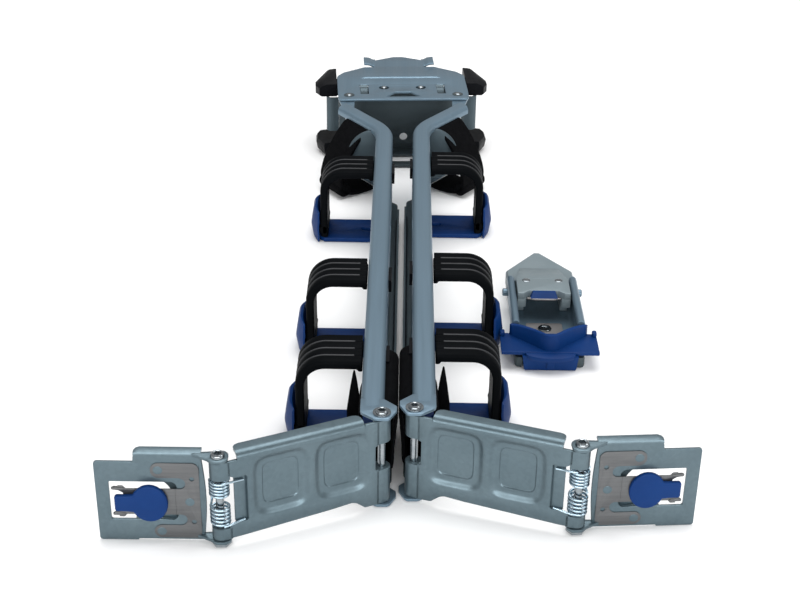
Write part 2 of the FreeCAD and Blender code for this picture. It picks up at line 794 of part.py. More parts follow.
def hingeScrews(side):
    """The near hinge screw, the outer hinge screw and the outer hinge nut."""
    top = s.topPlane
    pin = s.screwRadius
    near = turned(f"near_hinge_screw_{side}",
                  [(zero, zero), (s.headRadius, zero), (s.headRadius, s.webFoot - s.turningGap),
                   (pin, s.webFoot - s.turningGap), (pin, top + s.turningGap), (s.headRadius, top + s.turningGap),
                   (s.headRadius, top + s.headHeight * 0.5), (s.headRadius * 0.7, top + s.headHeight),
                   (zero, top + s.headHeight)])
    put(near, *linkSpot(side))
    outerTop = s.outerLugTop
    outer = turned(f"outer_hinge_screw_{side}",
                   [(zero, s.turningGap), (pin, s.turningGap), (pin, outerTop + s.turningGap),
                    (s.headRadius, outerTop + s.turningGap), (s.headRadius, outerTop + s.headHeight * 0.5),
                    (s.headRadius * 0.7, outerTop + s.headHeight), (zero, outerTop + s.headHeight)])
    put(outer, *outerSpot(side))
    nut = newBody(f"outer_hinge_nut_{side}")
    reach = s.nutRadius
    corners = [(reach * round(math.cos(math.radians(60 * step)), 4), reach * round(math.sin(math.radians(60 * step)), 4))
               for step in range(6)]
    pad(nut, "XY", zero, s.outerLugFoot - s.turningGap, corners, ("disc", zero, zero, pin + s.turningGap / 2))
    put(nut, *outerSpot(side))


def hingeSpring(side):
    """Two torsion coils on one hinge screw, each against a knuckle and with a leg at both ends."""
    way = sides[side]
    body = newBody(f"hinge_spring_{side}")
    wire = s.springWire / 2
    tall = s.springPitch * s.springTurns
    low = s.outerLowTop + s.seatGap + wire
    high = s.outerHighFoot - s.seatGap - wire
    for foot in (low, high - tall):
        sketch = sketchOn(body, "XZ", zero)
        addDisc(sketch, s.springRadius * way, foot, wire)
        coil = body.newObject("PartDesign::AdditiveHelix", "Coil")
        coil.Profile = sketch
        coil.ReferenceAxis = (sketch, ["V_Axis"])
        coil.Mode = 1
        bind(coil, "Pitch", s.springPitch)
        bind(coil, "Turns", s.springTurns)
        coil.LeftHanded = way < 0
        for end in (foot, foot + tall):
            pad(body, "XZ", -s.springRadius * 0.9, s.springRadius, ("disc", s.springRadius * way, end, wire * 0.9))
    put(body, *outerSpot(side), 0.0, latchAngle[side])


# Latch brackets: a stepped sheet with a window, two lugs, and a riveted stainless leaf with a push tab.
def latchBracket(side):
    way = sides[side]
    body = newBody(f"latch_bracket_{side}")
    back = s.latchBack
    pad(body, "XZ", back, sheetMetal,
        flipped([(s.latchInner, s.webFoot), (s.latchStepPlace, s.webFoot), (s.latchStepPlace, zero),
                 (s.latchLength, zero), (s.latchLength, s.latchStep), (s.latchStepPlace, s.latchStep),
                 (s.latchStepPlace, s.latchTop), (s.latchInner, s.latchTop)], way))
    pad(body, "XZ", back, s.rollDepth * 0.6,
        flipped(rectangle(s.latchInner, s.latchTop - sheetMetal, s.latchStepPlace, s.latchTop), way))
    reach = s.knuckleRadius + s.headHeight / 3
    lug = [(-reach, -reach * 0.5), (-reach * 0.5, -reach), (reach * 0.5, -reach), (reach, -reach * 0.5),
           (s.leafStart - s.seatGap, back), (s.latchInner + s.knuckleRadius, back),
           (s.latchInner + s.knuckleRadius, back + sheetMetal),
           (reach, reach * 0.75), (-reach * 0.5, reach), (-reach, reach * 0.5)]
    pad(body, "XY", s.outerLugTop - sheetMetal, sheetMetal, flipped(lug, way))
    pad(body, "XY", s.outerLugFoot, sheetMetal, flipped(lug, way))
    pocket(body, "XY", -sheetMetal, s.topPlane + sheetMetal * 3,
           ("disc", zero, zero, s.screwRadius + s.turningGap))
    pocket(body, "XZ", back - sheetMetal, sheetMetal * 3,
           flipped(rectangle(s.latchWindowStart, s.latchWindowFoot, s.latchWindowEnd, s.latchWindowTop, sheetMetal), way))
    for across, height in leafRivets():
        pocket(body, "XZ", back - sheetMetal, sheetMetal * 3,
               ("disc", across * way, height, s.rivetRadius * 0.6))

    def topRoll(edge):
        spot = edge.CenterOfMass
        return runsAlong(edge, "x") and near(spot.y, back) and near(spot.z, s.latchTop)
    dressed(body, "Fillet", sheetMetal * 0.9, topRoll)
    put(body, *outerSpot(side), 0.0, latchAngle[side])


def leafRivets():
    return [(s.leafEnd - s.rivetRadius * 1.6, s.leafTop - s.rivetRadius * 1.6),
            (s.leafStart + s.rivetRadius * 1.7, s.tabMiddle),
            (s.leafEnd - s.rivetRadius * 1.6, s.leafFoot + s.rivetRadius * 1.6)]


def latchLeaf(side):
    way = sides[side]
    front = s.latchBack - s.leafThickness
    split = s.latchWindowStart
    body = newBody(f"latch_leaf_{side}")
    gapFoot = s.leafFoot + s.rivetRadius * 3.2
    gapTop = s.leafTop - s.rivetRadius * 3.2
    pad(body, "XZ", front, s.leafThickness,
        flipped([(s.leafStart, s.leafFoot), (s.leafEnd, s.leafFoot), (s.leafEnd, gapFoot), (split, gapFoot),
                 (split, gapTop), (s.leafEnd, gapTop), (s.leafEnd, s.leafTop), (s.leafStart, s.leafTop)], way))
    for across, height in leafRivets():
        pocket(body, "XZ", front - sheetMetal, sheetMetal * 3, ("disc", across * way, height, s.rivetRadius * 0.6))
    hole = s.rivetRadius / 2
    for height in (gapFoot, gapTop):
        pocket(body, "XZ", front - sheetMetal, sheetMetal * 3,
               ("disc", (s.leafStart + s.rivetRadius * 1.5) * way, height, hole))
    put(body, *outerSpot(side), 0.0, latchAngle[side])
    rivets = newBody(f"leaf_rivets_{side}")
    radius = s.rivetRadius
    for across, height in leafRivets():
        pad(rivets, "XZ", front - s.rivetHeight, s.rivetHeight, ("disc", across * way, height, radius))
        pad(rivets, "XZ", front, sheetMetal + s.leafThickness, ("disc", across * way, height, radius * 0.6))
    put(rivets, *outerSpot(side), 0.0, latchAngle[side])
    tongue = newBody(f"latch_tongue_{side}")
    root = split + s.turningGap
    prong = s.headHeight
    pad(tongue, "XZ", front, s.leafThickness,
        flipped([(root, s.tongueFoot), (s.prongEnd, s.tongueFoot), (s.prongEnd, s.tongueFoot + prong),
                 (s.tongueEnd, s.tongueFoot + prong), (s.tongueEnd, s.tongueTop - prong),
                 (s.prongEnd, s.tongueTop - prong), (s.prongEnd, s.tongueTop), (root, s.tongueTop)], way))
    put(tongue, *outerSpot(side), 0.0, latchAngle[side])
    tab = newBody(f"push_tab_{side}")
    stem = s.tabStemWidth / 2
    pad(tab, "XZ", front - s.tabThickness, s.tabThickness, ("disc", s.tabPlace * way, s.tabMiddle, s.tabRadius))
    pad(tab, "XZ", front - s.tabThickness, s.tabThickness,
        flipped(rectangle(s.tabPlace, s.tabMiddle - stem, s.tabStem, s.tabMiddle + stem), way))

    def frontRim(edge):
        return all(near(vertex.Point.y, front - s.tabThickness) for vertex in edge.Vertexes)
    dressed(tab, "Chamfer", s.leafThickness, frontRim)
    put(tab, *outerSpot(side), 0.0, latchAngle[side])


for side in sides:
    linkPlate(side)
    hingeScrews(side)
    hingeSpring(side)
    latchBracket(side)
    latchLeaf(side)


# Elbow: a bent frame under a shaped top plate, turned a little because one arm is set further back.
pivots = {side: (sides[side] * (float(hingeHalf) + float(s.pivotAcross)),
                 float(armBase[side]) + float(s.pivotAlong)) for side in sides}
elbowMiddle = ((pivots["left"][0] + pivots["right"][0]) / 2, (pivots["left"][1] + pivots["right"][1]) / 2)
elbowTurn = math.degrees(math.atan2(pivots["right"][1] - pivots["left"][1], pivots["right"][0] - pivots["left"][0]))
elbowPivot = math.hypot(pivots["right"][0] - pivots["left"][0], pivots["right"][1] - pivots["left"][1]) / 2


capHead = s.headRadius * 0.7
capShank = s.headRadius * 0.35


def putElbow(piece):
    return put(piece, *elbowMiddle, 0.0, elbowTurn)


def elbowTopPlate():
    body = newBody("elbow_top_plate")
    under = flangeUnder
    corner = s.elbowNear * 0.4
    outline = [(-s.elbowHalf, -s.elbowNear, corner), (s.elbowHalf, -s.elbowNear, corner),
               (s.elbowHalf, s.elbowSide),
               (s.elbowHalf * 0.9, s.elbowSide * 1.2), (s.elbowBackHalf * 1.15, s.elbowBack - sheetMetal * 2),
               (s.elbowBackHalf, s.elbowBack)]
    mirror = [(-x, y) for x, y in reversed(outline[2:])]
    tongue = [(s.tongueHalf, s.elbowBack), (s.tongueHalf, s.tongueShoulder), (zero, s.tongueApex),
              (-s.tongueHalf, s.tongueShoulder), (-s.tongueHalf, s.elbowBack)]
    louvre = s.sheetThickness * 2
    trapezoid = [(-s.elbowHalf * 0.26, -sheetMetal), (s.elbowHalf * 0.26, -sheetMetal),
                 (s.elbowHalf * 0.12, sheetMetal * 3.3), (-s.elbowHalf * 0.12, sheetMetal * 3.3)]
    pad(body, "XY", under, sheetMetal, outline + tongue + mirror, trapezoid)
    for way in (-1, 1):
        middle = s.elbowHalf * 0.59 * way
        pocket(body, "XY", under - sheetMetal, sheetMetal * 3,
               rectangle(middle - louvre, s.wallPlace - s.elbowNear * 1.3, middle + louvre,
                         s.wallPlace - sheetMetal * 0.5))
        pocket(body, "XY", under - sheetMetal, sheetMetal * 3, ("disc", Size(elbowPivot, f"{elbowPivot:.6f}") * way,
                                                               zero, s.pivotRadius))
        pocket(body, "XY", under - sheetMetal, sheetMetal * 3,
               ("disc", s.elbowHalf * 0.285 * way, s.wallPlace * 0.78, s.rivetRadius * 0.6))
        curl = s.earCurl
        pad(body, "XZ", s.elbowBack + sheetMetal * 1.6, s.tongueShoulder - s.elbowBack - sheetMetal,
            flipped([(s.tongueHalf - sheetMetal, under), (s.tongueHalf + curl, under, s.earCurlHeight * 0.45),
                     (s.tongueHalf + curl, s.topPlane + s.earCurlHeight * 0.35),
                     (s.tongueHalf + curl - sheetMetal, s.topPlane + s.earCurlHeight * 0.35),
                     (s.tongueHalf + curl - sheetMetal, s.topPlane, s.earCurlHeight * 0.15),
                     (s.tongueHalf - sheetMetal, s.topPlane)], way))
    pad(body, "XY", s.topPlane, sheetMetal / 2,
        rectangle(-s.beadHalf, s.beadAlong - sheetMetal, s.beadHalf, s.beadAlong + sheetMetal, sheetMetal * 0.98))
    putElbow(body)


def elbowFrame():
    body = newBody("elbow_frame")
    wall = s.wallPlace
    pad(body, "XZ", wall, sheetMetal, rectangle(-s.wallHalf, s.floorFlangeFoot, s.wallHalf, flangeUnder),
        ("disc", zero, s.cableHoleHeight, s.cableHoleRadius))
    pad(body, "XY", s.floorFlangeFoot, sheetMetal,
        rectangle(-s.wallHalf, -s.floorFlangeNear, s.wallHalf, wall + sheetMetal),
        rectangle(-s.elbowHalf * 0.3, -s.floorFlangeNear * 0.45, s.elbowHalf * 0.3, s.wallPlace * 0.35))
    pad(body, "XY", flangeUnder - sheetMetal, sheetMetal,
        rectangle(-s.elbowBackHalf, wall * 0.55, s.elbowBackHalf, wall + sheetMetal))
    for way in (-1, 1):
        pocket(body, "XY", s.floorFlangeFoot - sheetMetal, sheetMetal * 3,
               ("disc", Size(elbowPivot, f"{elbowPivot:.6f}") * way, zero, s.pivotRadius))
        pocket(body, "XY", flangeUnder - sheetMetal * 2, sheetMetal * 3,
               ("disc", s.elbowHalf * 0.285 * way, wall * 0.78, s.rivetRadius * 0.6))
    putElbow(body)


def elbowFasteners():
    """Pivot rivets through plate, lugs and floor flange, and two small domed plate rivets."""
    group = newBody("elbow_pivots")
    for way in (-1, 1):
        middle = Size(elbowPivot, f"{elbowPivot:.6f}") * way
        pad(group, "XY", s.floorFlangeFoot, s.topPlane - s.floorFlangeFoot, ("disc", middle, zero, s.pivotRadius))
        pad(group, "XY", s.topPlane, s.headHeight * 0.6, ("disc", middle, zero, s.headRadius * 1.2))
        pad(group, "XY", s.floorFlangeFoot - s.headHeight * 0.4, s.headHeight * 0.4,
            ("disc", middle, zero, s.headRadius * 1.2))
    putElbow(group)
    rivets = newBody("elbow_plate_rivets")
    for way in (-1, 1):
        middle = s.elbowHalf * 0.285 * way
        along = s.wallPlace * 0.78
        pad(rivets, "XY", s.topPlane, s.rivetHeight * 1.6, ("disc", middle, along, s.rivetRadius * 1.2))
        pad(rivets, "XY", flangeUnder - sheetMetal, sheetMetal * 2, ("disc", middle, along, s.rivetRadius * 0.6))

    def crown(edge):
        return all(near(vertex.Point.z, s.topPlane + s.rivetHeight * 1.6) for vertex in edge.Vertexes)
    dressed(rivets, "Fillet", s.rivetHeight, crown)
    putElbow(rivets)


def elbowSides(side):
    """A half-round side guard between an upper and a lower bumper cap."""
    way = sides[side]
    guard = newBody(f"elbow_guard_{side}")
    outer = s.guardRadius
    low = s.lowCapTop + s.turningGap
    high = s.capFoot - s.turningGap
    along = s.guardAlong
    middle = s.guardPlace
    rim = sheetMetal
    pad(guard, "XY", low, high - low,
        flipped([(s.wallHalf + s.turningGap, s.wallPlace), (middle, s.wallPlace),
                 (middle + outer, s.wallPlace, outer * 0.9), (middle + outer, along + outer),
                 (middle + outer - rim, along + outer), (middle + outer - rim, s.wallPlace + rim, outer * 0.9 - rim),
                 (middle, s.wallPlace + rim), (s.wallHalf + s.turningGap, s.wallPlace + rim)], way))
    putElbow(guard)
    cap = newBody(f"upper_cap_{side}")
    inner = s.elbowHalf + s.seatGap
    pad(cap, "XY", s.capFoot, s.topPlane - s.capFoot,
        flipped([(inner, s.capNear), (s.capReach - sheetMetal * 2, s.capNear), (s.capReach, s.capNear + sheetMetal * 4),
                 (s.capReach, s.capNear + sheetMetal * 9), (s.capReach * 0.88, s.capFar * 0.98),
                 (inner, s.capFar)], way))
    pad(cap, "XY", s.capFoot, flangeUnder - s.capFoot - s.seatGap,
        flipped(rectangle(s.wallHalf * 0.93, s.capNear + sheetMetal, inner, s.elbowSide), way))

    def outerTop(edge):
        spots = [vertex.Point for vertex in edge.Vertexes]
        high = all(near(spot.z, s.topPlane) for spot in spots)
        return high and any(abs(spot.x) > float(inner) + 0.1 for spot in spots)
    dressed(cap, "Chamfer", s.headHeight * 1.3, outerTop)
    putElbow(cap)
    foot = newBody(f"lower_cap_{side}")
    pad(foot, "XY", zero, s.lowCapTop,
        flipped([(s.wallHalf + s.seatGap, s.capNear * 0.55), (s.capReach * 0.91, s.capNear * 0.45),
                 (s.capReach, s.capNear), (s.capReach * 0.9, s.capFar * 0.9), (s.wallHalf + s.seatGap, s.capFar)],
                way))
    seat = s.capNear * 0.55
    for radius, end in ((capHead + s.turningGap, seat), (capShank + s.turningGap, seat + s.headHeight * 3)):
        pocket(foot, "XZ", zero, end, ("disc", s.guardPlace * way, s.lowCapTop * 0.5, radius))

    def outerFoot(edge):
        spots = [vertex.Point for vertex in edge.Vertexes]
        low = all(near(spot.z, zero) for spot in spots)
        return low and any(abs(spot.x) > float(s.capReach) * 0.95 for spot in spots)
    dressed(foot, "Chamfer", s.headHeight * 1.6, outerFoot)
    putElbow(foot)


def capScrews():
    group = newBody("cap_screws")
    seat = s.capNear * 0.55 - s.turningGap
    for way in (-1, 1):
        pad(group, "XZ", seat - s.headHeight * 1.4, s.headHeight * 1.4,
            ("disc", s.guardPlace * way, s.lowCapTop * 0.5, capHead))
        pad(group, "XZ", seat, s.headHeight * 3, ("disc", s.guardPlace * way, s.lowCapTop * 0.5, capShank))
    putElbow(group)


elbowTopPlate()
elbowFrame()
elbowFasteners()
for side in sides:
    elbowSides(side)
capScrews()


# Loose attachment bracket, set out from the middle of its blue end piece.
def putClip(piece):
    return put(piece, s.clipAcross, s.clipAlong)


def clipChannel():
    body = newBody("clip_channel")
    half = s.clipWidth / 2
    wall = s.clipWall
    rim = s.railRadius
    start = s.wingFar + s.seatGap
    length = s.channelEnd - start
    collar = rim - wall / 2 + s.seatGap / 2
    pad(body, "XZ", s.channelStart, s.channelEnd - s.channelStart,
        [(-half, zero), (half, zero), (half, wall), (-half, wall)])
    for way in (-1, 1):
        pad(body, "XZ", start, length, ring(half - wall, half, zero, s.clipHeight - rim, way))
        pad(body, "XZ", start, length, ("disc", (half - wall / 2) * way, s.clipHeight - rim, rim))
        pad(body, "YZ", half * way - (s.pinReach if way < 0 else zero), s.pinReach,
            ("disc", s.pinAlong, s.pinHeight, s.pinRadius))
        pad(body, "YZ", half * way - (collar if way < 0 else zero), collar,
            ("disc", s.pinAlong, s.pinHeight, s.pinRadius + wall))

    def lowEdge(edge):
        spot = edge.CenterOfMass
        return runsAlong(edge, "y") and near(spot.z, 0.0) and near(abs(spot.x), half)
    dressed(body, "Fillet", wall * 0.8, lowEdge)
    putClip(body)


def clipNose():
    body = newBody("clip_nose")
    half = s.clipWidth / 2
    inner = half - s.clipWall - s.seatGap
    channelEnd = s.channelEnd + s.seatGap
    blockHalf = half * 0.72
    pad(body, "XY", s.noseFoot, s.noseTop - s.noseFoot,
        [(-half, channelEnd), (half, channelEnd), (half, s.noseShoulder), (s.railRadius, s.noseApex),
         (-s.railRadius, s.noseApex), (-half, s.noseShoulder)])
    pad(body, "XY", s.noseFoot + s.clipWall * 3, s.blockTop - s.noseFoot - s.clipWall * 3,
        [(-blockHalf, s.blockNear), (-blockHalf * 0.5, s.blockNear), (-blockHalf * 0.38, s.blockNear + s.clipWall),
         (blockHalf * 0.38, s.blockNear + s.clipWall), (blockHalf * 0.5, s.blockNear), (blockHalf, s.blockNear),
         (blockHalf, s.blockFar), (-blockHalf, s.blockFar)])
    pad(body, "XY", s.clipWall + s.seatGap, s.noseTop - s.clipWall - s.seatGap,
        rectangle(-inner + s.railRadius, s.channelEnd - s.clipWall * 3, inner - s.railRadius, channelEnd))
    for way in (-1, 1):
        pocket(body, "XY", s.blockTop - s.clipWall, s.clipWall * 2,
               ("disc", blockHalf * 0.68 * way, (s.blockNear + s.blockFar) / 2, s.rivetRadius * 0.6))

    def slopes(edge):
        spot = edge.CenterOfMass
        return runsAlong(edge, "y") and near(spot.z, s.blockTop) and near(abs(spot.x), blockHalf)
    dressed(body, "Chamfer", s.clipWall * 1.4, slopes)
    putClip(body)


def clipSmallParts():
    blockHalf = s.clipWidth / 2 * 0.72
    rivets = newBody("clip_rivets")
    for way in (-1, 1):
        spot = (blockHalf * 0.68 * way, (s.blockNear + s.blockFar) / 2)
        pad(rivets, "XY", s.blockTop, s.rivetHeight, ("disc", *spot, s.rivetRadius))
        pad(rivets, "XY", s.blockTop - s.clipWall, s.clipWall, ("disc", *spot, s.rivetRadius * 0.6))
    plateFar = s.blockNear * 0.85
    pad(rivets, "XY", s.clipWall * 1.6, s.rivetHeight * 1.4, ("disc", zero, plateFar * 0.86, s.rivetRadius * 1.6))
    pad(rivets, "XY", s.clipWall, s.clipWall * 0.6, ("disc", zero, plateFar * 0.86, s.rivetRadius * 0.8))
    putClip(rivets)
    plate = newBody("clip_floor_plate")
    pad(plate, "XY", s.clipWall, s.clipWall * 0.6,
        rectangle(-s.clipWidth * 0.27, s.wingFar + s.seatGap, s.clipWidth * 0.27, plateFar, sheetMetal),
        ("disc", zero, plateFar * 0.86, s.rivetRadius * 0.8))
    putClip(plate)
    leaf = newBody("clip_leaf")
    leafTop = s.blockTop - s.clipWall * 1.4
    near = s.blockNear - s.clipWall
    pad(leaf, "XY", leafTop - s.leafThickness * 2, s.leafThickness * 2,
        [(-blockHalf * 0.3, near - s.clipWall * 0.6), (blockHalf * 0.3, near - s.clipWall * 0.6),
         (blockHalf * 0.66, s.blockNear - s.seatGap), (-blockHalf * 0.66, s.blockNear - s.seatGap)])
    putClip(leaf)
    button = newBody("clip_button")
    pad(button, "XY", leafTop, s.clipWall * 0.7,
        [(-blockHalf * 0.42, near - s.clipWall * 0.1), (blockHalf * 0.42, near - s.clipWall * 0.1),
         (blockHalf * 0.34, near + s.clipWall * 1.2), (-blockHalf * 0.34, near + s.clipWall * 1.2)])
    putClip(button)


def clipEnd():
    """The blue end piece: a wing shelf with end lugs, a bow-shaped wall and a front skirt."""
    body = newBody("clip_end")
    half = s.wingSpan / 2
    skirt = s.skirtWidth / 2
    top = s.wingFoot + s.wingThickness
    bow = s.clipWidth * 0.52
    near = s.wingNear
    wall = s.clipWall
    pad(body, "XY", s.wingFoot, s.wingThickness, rectangle(-half, near, half, s.wingFar))
    pad(body, "XY", zero, s.wingFoot, rectangle(-skirt, zero, skirt, s.channelStart - s.seatGap))
    pad(body, "XY", top, s.bowHeight,
        [(-bow, s.wingFar * 0.86), (-bow * 0.18, s.wingFar * 0.36), (bow * 0.18, s.wingFar * 0.36),
         (bow, s.wingFar * 0.86), (bow, s.wingFar * 0.86 + wall), (bow * 0.18, s.wingFar * 0.36 + wall),
         (-bow * 0.18, s.wingFar * 0.36 + wall), (-bow, s.wingFar * 0.86 + wall)])
    for way in (-1, 1):
        pad(body, "XY", top, s.bowHeight / 3,
            flipped(rectangle(half - wall * 1.2, s.wingFar - wall * 2, half, s.wingFar), way))
    pocket(body, "XY", -wall, s.wingFoot * 0.8 + wall,
           rectangle(-skirt * 0.18, -wall, skirt * 0.18, wall))
    putClip(body)


clipChannel()
clipNose()
clipSmallParts()
clipEnd()

document.recompute()
faults = []
for item in document.Objects:
    owners = [owner.Label for owner in item.InList]
    if "Invalid" in item.State or "Error" in item.State:
        faults.append(f"{item.Name} of {owners}: {item.State}")
    elif item.TypeId.startswith("PartDesign::") and item.Shape.isNull():
        faults.append(f"{item.Name} of {owners} is empty")
    elif item.TypeId == "PartDesign::Pocket" and not item.BaseFeature.Shape.isNull():
        if item.Shape.Volume > item.BaseFeature.Shape.Volume - 1e-6:
            faults.append(f"{item.Name} of {owners} cuts nothing")
for piece in parts:
    if piece.Shape.isNull() or not piece.Shape.isValid():
        faults.append(f"{piece.Label} has no valid shape")
if faults:
    raise RuntimeError("\n".join(faults))

os.makedirs("parts", exist_ok=True)
for piece in parts:
    piece.Shape.exportStep(f"parts/{piece.Label}.step")
print(len(parts), "pieces written")
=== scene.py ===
import bpy
import bmesh
import math
from mathutils import Matrix, Vector


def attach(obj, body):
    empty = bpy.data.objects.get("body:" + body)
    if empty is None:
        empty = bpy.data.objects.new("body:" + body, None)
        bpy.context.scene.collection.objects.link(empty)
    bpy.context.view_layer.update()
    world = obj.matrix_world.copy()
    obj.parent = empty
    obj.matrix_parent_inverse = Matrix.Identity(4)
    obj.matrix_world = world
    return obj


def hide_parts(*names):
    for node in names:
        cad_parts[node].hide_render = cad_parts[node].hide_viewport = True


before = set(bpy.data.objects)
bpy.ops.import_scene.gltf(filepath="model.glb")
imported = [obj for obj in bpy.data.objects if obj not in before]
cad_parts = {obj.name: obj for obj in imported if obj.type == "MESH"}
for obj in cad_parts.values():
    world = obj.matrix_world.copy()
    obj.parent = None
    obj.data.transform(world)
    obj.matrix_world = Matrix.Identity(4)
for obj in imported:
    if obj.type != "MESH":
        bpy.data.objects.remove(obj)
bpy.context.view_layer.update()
print("frame loaded")

# where the part's own points lie in the row frame, in millimetres
spots = {
    "originAcross": 1.3, "originAlong": 186.81,
    "hingeAcross": 6.4, "hingeAlong": 2.0,
    "linkLength": 67.5, "linkTurn": {-1: 25.0, 1: -18.5}, "latchTurn": {-1: 0.0, 1: 4.5},
    "pivotAcross": 25.7, "pivotAlong": 343.7,
    "clipAcross": 70.0, "clipAlong": 101.5,
}
sideNames = {-1: "left", 1: "right"}


def standAt(across, along, turn=0.0):
    # millimetres of a piece's own frame to metres of the row frame
    place = Vector((across - spots["originAcross"], along - spots["originAlong"], 0.0)) * 0.001
    return Matrix.Translation(place) @ Matrix.Rotation(math.radians(turn), 4, "Z") @ Matrix.Scale(0.001, 4)


def armFrame(side, along=0.0):
    return standAt(side * spots["hingeAcross"], side * spots["hingeAlong"] + along)


def linkFrame(side):
    return standAt(side * spots["hingeAcross"], side * spots["hingeAlong"], spots["linkTurn"][side])


def latchFrame(side):
    turn = math.radians(spots["linkTurn"][side])
    reach = side * spots["linkLength"]
    return standAt(side * spots["hingeAcross"] + reach * math.cos(turn),
                   side * spots["hingeAlong"] + reach * math.sin(turn), spots["latchTurn"][side])


pivotX = spots["hingeAcross"] + spots["pivotAcross"]
elbowTurn = math.degrees(math.atan2(2 * spots["hingeAlong"], 2 * pivotX))
elbowPivot = math.hypot(pivotX, spots["hingeAlong"])
elbowFrame = standAt(0.0, spots["pivotAlong"], elbowTurn)
clipFrame = standAt(spots["clipAcross"], spots["clipAlong"])


# materials

def setInputs(node, values):
    for socket, value in values.items():
        node.inputs[socket].default_value = value
    return node


def newMaterial(name, finish):
    # two tones mixed by a cloud, a roughness cloud, fine grain in the bump
    made = bpy.data.materials.new(name)
    made.use_nodes = True
    nodes, link = made.node_tree.nodes, made.node_tree.links.new
    shader = setInputs(nodes["Principled BSDF"], {"Metallic": finish.get("metal", 0.0),
                                                  "Specular IOR Level": finish.get("shine", 0.5)})
    coords = nodes.new("ShaderNodeTexCoord").outputs["Object"]
    stretch = setInputs(nodes.new("ShaderNodeMapping"), {"Scale": finish.get("stretch", (1, 1, 1))})
    link(coords, stretch.inputs["Vector"])

    def cloud(scale, detail=4.0):
        noise = setInputs(nodes.new("ShaderNodeTexNoise"), {"Scale": scale, "Detail": detail, "Roughness": 0.6})
        link(stretch.outputs["Vector"], noise.inputs["Vector"])
        return noise.outputs["Fac"]

    def spread(value, low, high):
        # most of a cloud lies between 0.3 and 0.7
        ramp = setInputs(nodes.new("ShaderNodeMapRange"), {"From Min": 0.3, "From Max": 0.7,
                                                           "To Min": low, "To Max": high})
        link(value, ramp.inputs["Value"])
        return ramp.outputs["Result"]

    def combined(operation, first, second):
        maths = nodes.new("ShaderNodeMath")
        maths.operation = operation
        link(first, maths.inputs[0])
        link(second, maths.inputs[1])
        return maths.outputs["Value"]

    tones = nodes.new("ShaderNodeMix")
    tones.data_type = "RGBA"
    setInputs(tones, {"A": (*finish["dark"], 1), "B": (*finish["light"], 1)})
    link(spread(cloud(finish["cloud"]), 0.0, 1.0), tones.inputs["Factor"])
    colour = tones.outputs["Result"]
    if "fleck" in finish:
        # crystals of the zinc coat
        cells = setInputs(nodes.new("ShaderNodeTexVoronoi"), {"Scale": finish["fleck"]})
        link(coords, cells.inputs["Vector"])
        grey = nodes.new("ShaderNodeRGBToBW")
        link(cells.outputs["Color"], grey.inputs["Color"])
        flecks = nodes.new("ShaderNodeMix")
        flecks.data_type = "RGBA"
        flecks.blend_type = "OVERLAY"
        setInputs(flecks, {"Factor": finish["fleckStrength"]})
        link(colour, flecks.inputs["A"])
        link(grey.outputs["Val"], flecks.inputs["B"])
        colour = flecks.outputs["Result"]
    link(colour, shader.inputs["Base Color"])
    link(spread(cloud(220), *finish["rough"]), shader.inputs["Roughness"])
    height = cloud(finish["grain"], 3.0)
    if "weave" in finish:
        # crossed threads of a woven tape
        waves = []
        for axis in ("X", "Y"):
            wave = setInputs(nodes.new("ShaderNodeTexWave"), {"Scale": finish["weave"], "Distortion": 0.6})
            wave.bands_direction = axis
            link(coords, wave.inputs["Vector"])
            waves.append(wave.outputs["Fac"])
        height = combined("ADD", combined("MAXIMUM", *waves), height)
    bump = setInputs(nodes.new("ShaderNodeBump"), {"Strength": finish["bump"],
                                                   "Distance": finish.get("bumpDepth", 0.0002)})
    link(height, bump.inputs["Height"])
    link(bump.outputs["Normal"], shader.inputs["Normal"])
    return made


